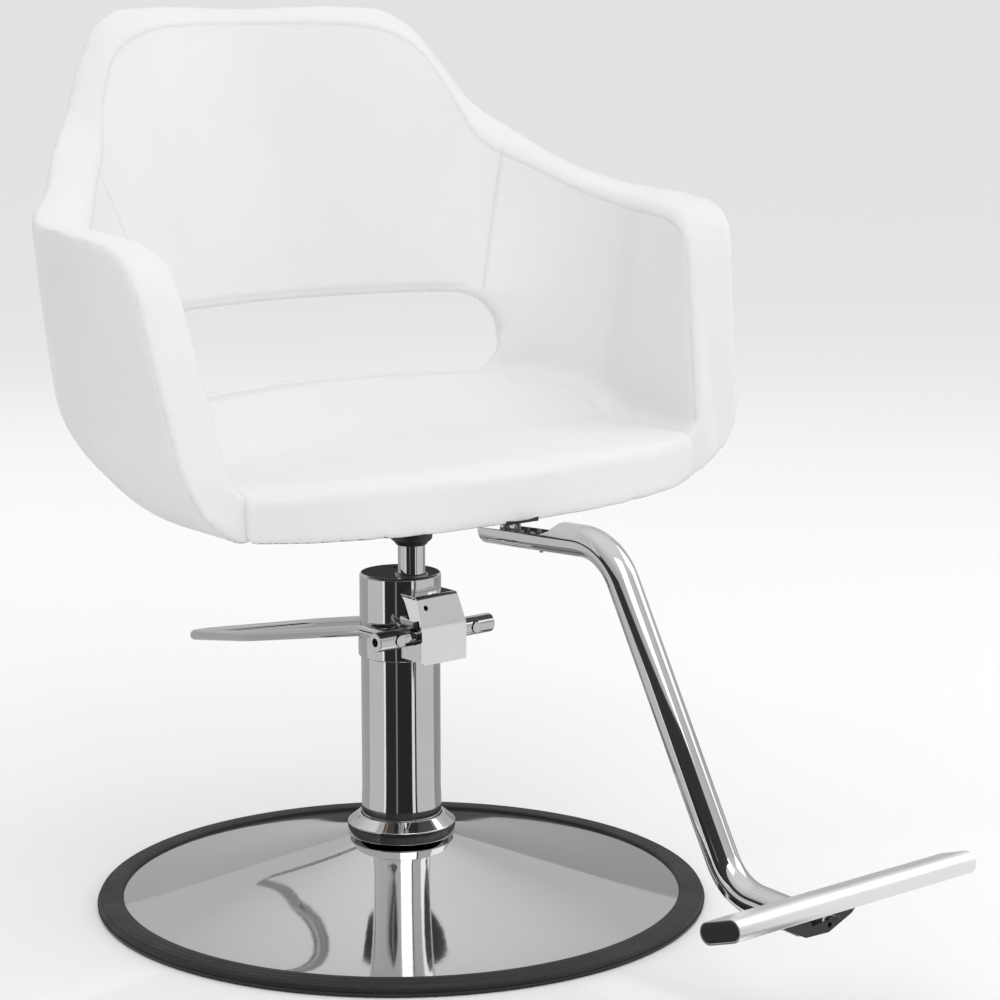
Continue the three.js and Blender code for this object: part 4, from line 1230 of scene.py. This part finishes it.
def studio():
    """Pale floor, soft lights, and tall grey cards round the chair for the chrome to reflect."""
    corners = [(-FLOOR_HALF, -FLOOR_HALF, 0), (FLOOR_HALF, -FLOOR_HALF, 0), (FLOOR_HALF, FLOOR_HALF, 0),
               (-FLOOR_HALF, FLOOR_HALF, 0)]
    plane = make("studio_floor", corners, [(0, 1, 2, 3)])
    mat, _, shader = material("studio_floor")
    shader.inputs["Base Color"].default_value = (0.93, 0.93, 0.93, 1)
    shader.inputs["Roughness"].default_value = 0.9
    plane.data.materials.append(mat)
    surroundings()
    light("key", (-1.0, -2.6, 3.4), (0, 0, 0.5), 2.2, 30)
    light("fill", (2.8, -1.2, 2.4), (0, 0, 0.5), 2.4, 20)
    light("back", (0.6, 2.8, 2.6), (0, 0, 0.6), 2.0, 14, False)
    for start, end, tone in CARDS:
        card(start, end, tone, ((CARD_START, 0.6), (CARD_REACH, 0.6), (CARD_REACH, CARD_HEIGHT)))
        if start >= -100 and end <= 33:
            card(start, end, CARD_DARK, ((CARD_REACH, CARD_HEIGHT + 1), (CARD_REACH, CARD_TOP)))
    # Behind the ram, so that the pump head's top mirrors something dark.
    card(155, 205, CARD_DARK, ((150.0, 340.0), (150.0, 385.0)))
    bpy.context.scene.view_settings.view_transform = "Standard"


def surroundings():
    """Light from all round: greyest a little above the horizon, white overhead."""
    world = bpy.data.worlds.new("studio")
    world.use_nodes = True
    tree = world.node_tree
    place_in_sky = node(tree, "ShaderNodeTexCoord")
    parts = node(tree, "ShaderNodeSeparateXYZ")
    tree.links.new(place_in_sky.outputs["Generated"], parts.inputs[0])
    sky = node(tree, "ShaderNodeValToRGB")
    low, high = sky.color_ramp.elements
    low.position, high.position = 0.0, 0.9
    low.color, high.color = (0.76, 0.76, 0.77, 1), (1, 1, 1, 1)
    for spot, tone in ((0.03, 0.75), (0.16, 0.58), (0.45, 0.62), (0.7, 0.85)):
        stop = sky.color_ramp.elements.new(spot)
        stop.color = (tone, tone, tone * 1.01, 1)
    tree.links.new(parts.outputs["Z"], sky.inputs["Fac"])
    tree.links.new(sky.outputs["Color"], tree.nodes["Background"].inputs["Color"])
    tree.nodes["Background"].inputs["Strength"].default_value = 1.0
    bpy.context.scene.world = world


def card(start, end, tone, profile):
    """A curved card, from (radius, height) points, that only the polished metal reflects."""
    points = []
    steps = max(2, int((end - start) / 4))
    for k in range(steps + 1):
        turn = math.radians(CAMERA_SIDE) + math.radians(start + (end - start) * k / steps)
        points += [(r * math.cos(turn), r * math.sin(turn), z) for r, z in profile]
    faces = []
    for k in range(steps):
        for i in range(len(profile) - 1):
            a = len(profile) * k + i
            b = a + len(profile)
            faces.append((a, b, b + 1, a + 1))
    name = f"card_{start + 180}_{int(profile[-1][1])}"
    obj = make(name, points, faces)
    mat, _, shader = material(name)
    shader.inputs["Base Color"].default_value = (0, 0, 0, 1)
    shader.inputs["Specular IOR Level"].default_value = 0.0
    shader.inputs["Emission Color"].default_value = (tone, tone, tone, 1)
    shader.inputs["Emission Strength"].default_value = 1.0
    mat.cycles.emission_sampling = "NONE"
    obj.data.materials.append(mat)
    obj.visible_camera = False
    obj.visible_diffuse = False
    obj.visible_shadow = False
    obj.visible_transmission = False


def light(name, spot, target, size, power, mirrored=True):
    data = bpy.data.lights.new(name, "AREA")
    data.shape = "SQUARE"
    data.size = size
    data.energy = power
    obj = bpy.data.objects.new(name, data)
    obj.location = spot
    obj.rotation_euler = (Vector(target) - Vector(spot)).to_track_quat("-Z", "Y").to_euler()
    obj.visible_glossy = mirrored
    bpy.context.scene.collection.objects.link(obj)


CAMERA_AZIMUTH = -40.48           # degrees from straight in front, to the sitter's right
CAMERA_SIDE = -90 + CAMERA_AZIMUTH
CAMERA_PITCH = 10.04
CAMERA_SPOT = (-1.722, -2.170, 0.895)
CAMERA_LENS = 102.6


def camera():
    """Slightly above seat height, from the sitter's right and in front."""
    azimuth, pitch = math.radians(CAMERA_AZIMUTH), math.radians(CAMERA_PITCH)
    level = Vector((math.sin(azimuth), -math.cos(azimuth), 0)) * math.cos(pitch)
    back = level + Vector((0, 0, math.sin(pitch)))
    right = Vector((math.cos(azimuth), math.sin(azimuth), 0))
    data = bpy.data.cameras.new("camera")
    data.sensor_width = 36
    data.lens = CAMERA_LENS
    obj = bpy.data.objects.new("camera", data)
    turn = Matrix((right, back.cross(right), back)).transposed().to_4x4()
    obj.matrix_world = Matrix.Translation(CAMERA_SPOT) @ turn
    bpy.context.scene.collection.objects.link(obj)
    bpy.context.scene.camera = obj


for name, obj in frame["nodes"].items():
    obj.data.materials.clear()
    obj.data.materials.append(MATERIALS[NODE_SLOT[name]])
    smooth(obj, False)

floor_ring()
base_dish()
column()
pump_head()
ram_gland()
oil_filler_screw()
ram()
swivel_hub()
lever()
pump_cover()
footrest()
footrest_fixings()
seat_board()
shell()
seat_pad()
studio()
camera()
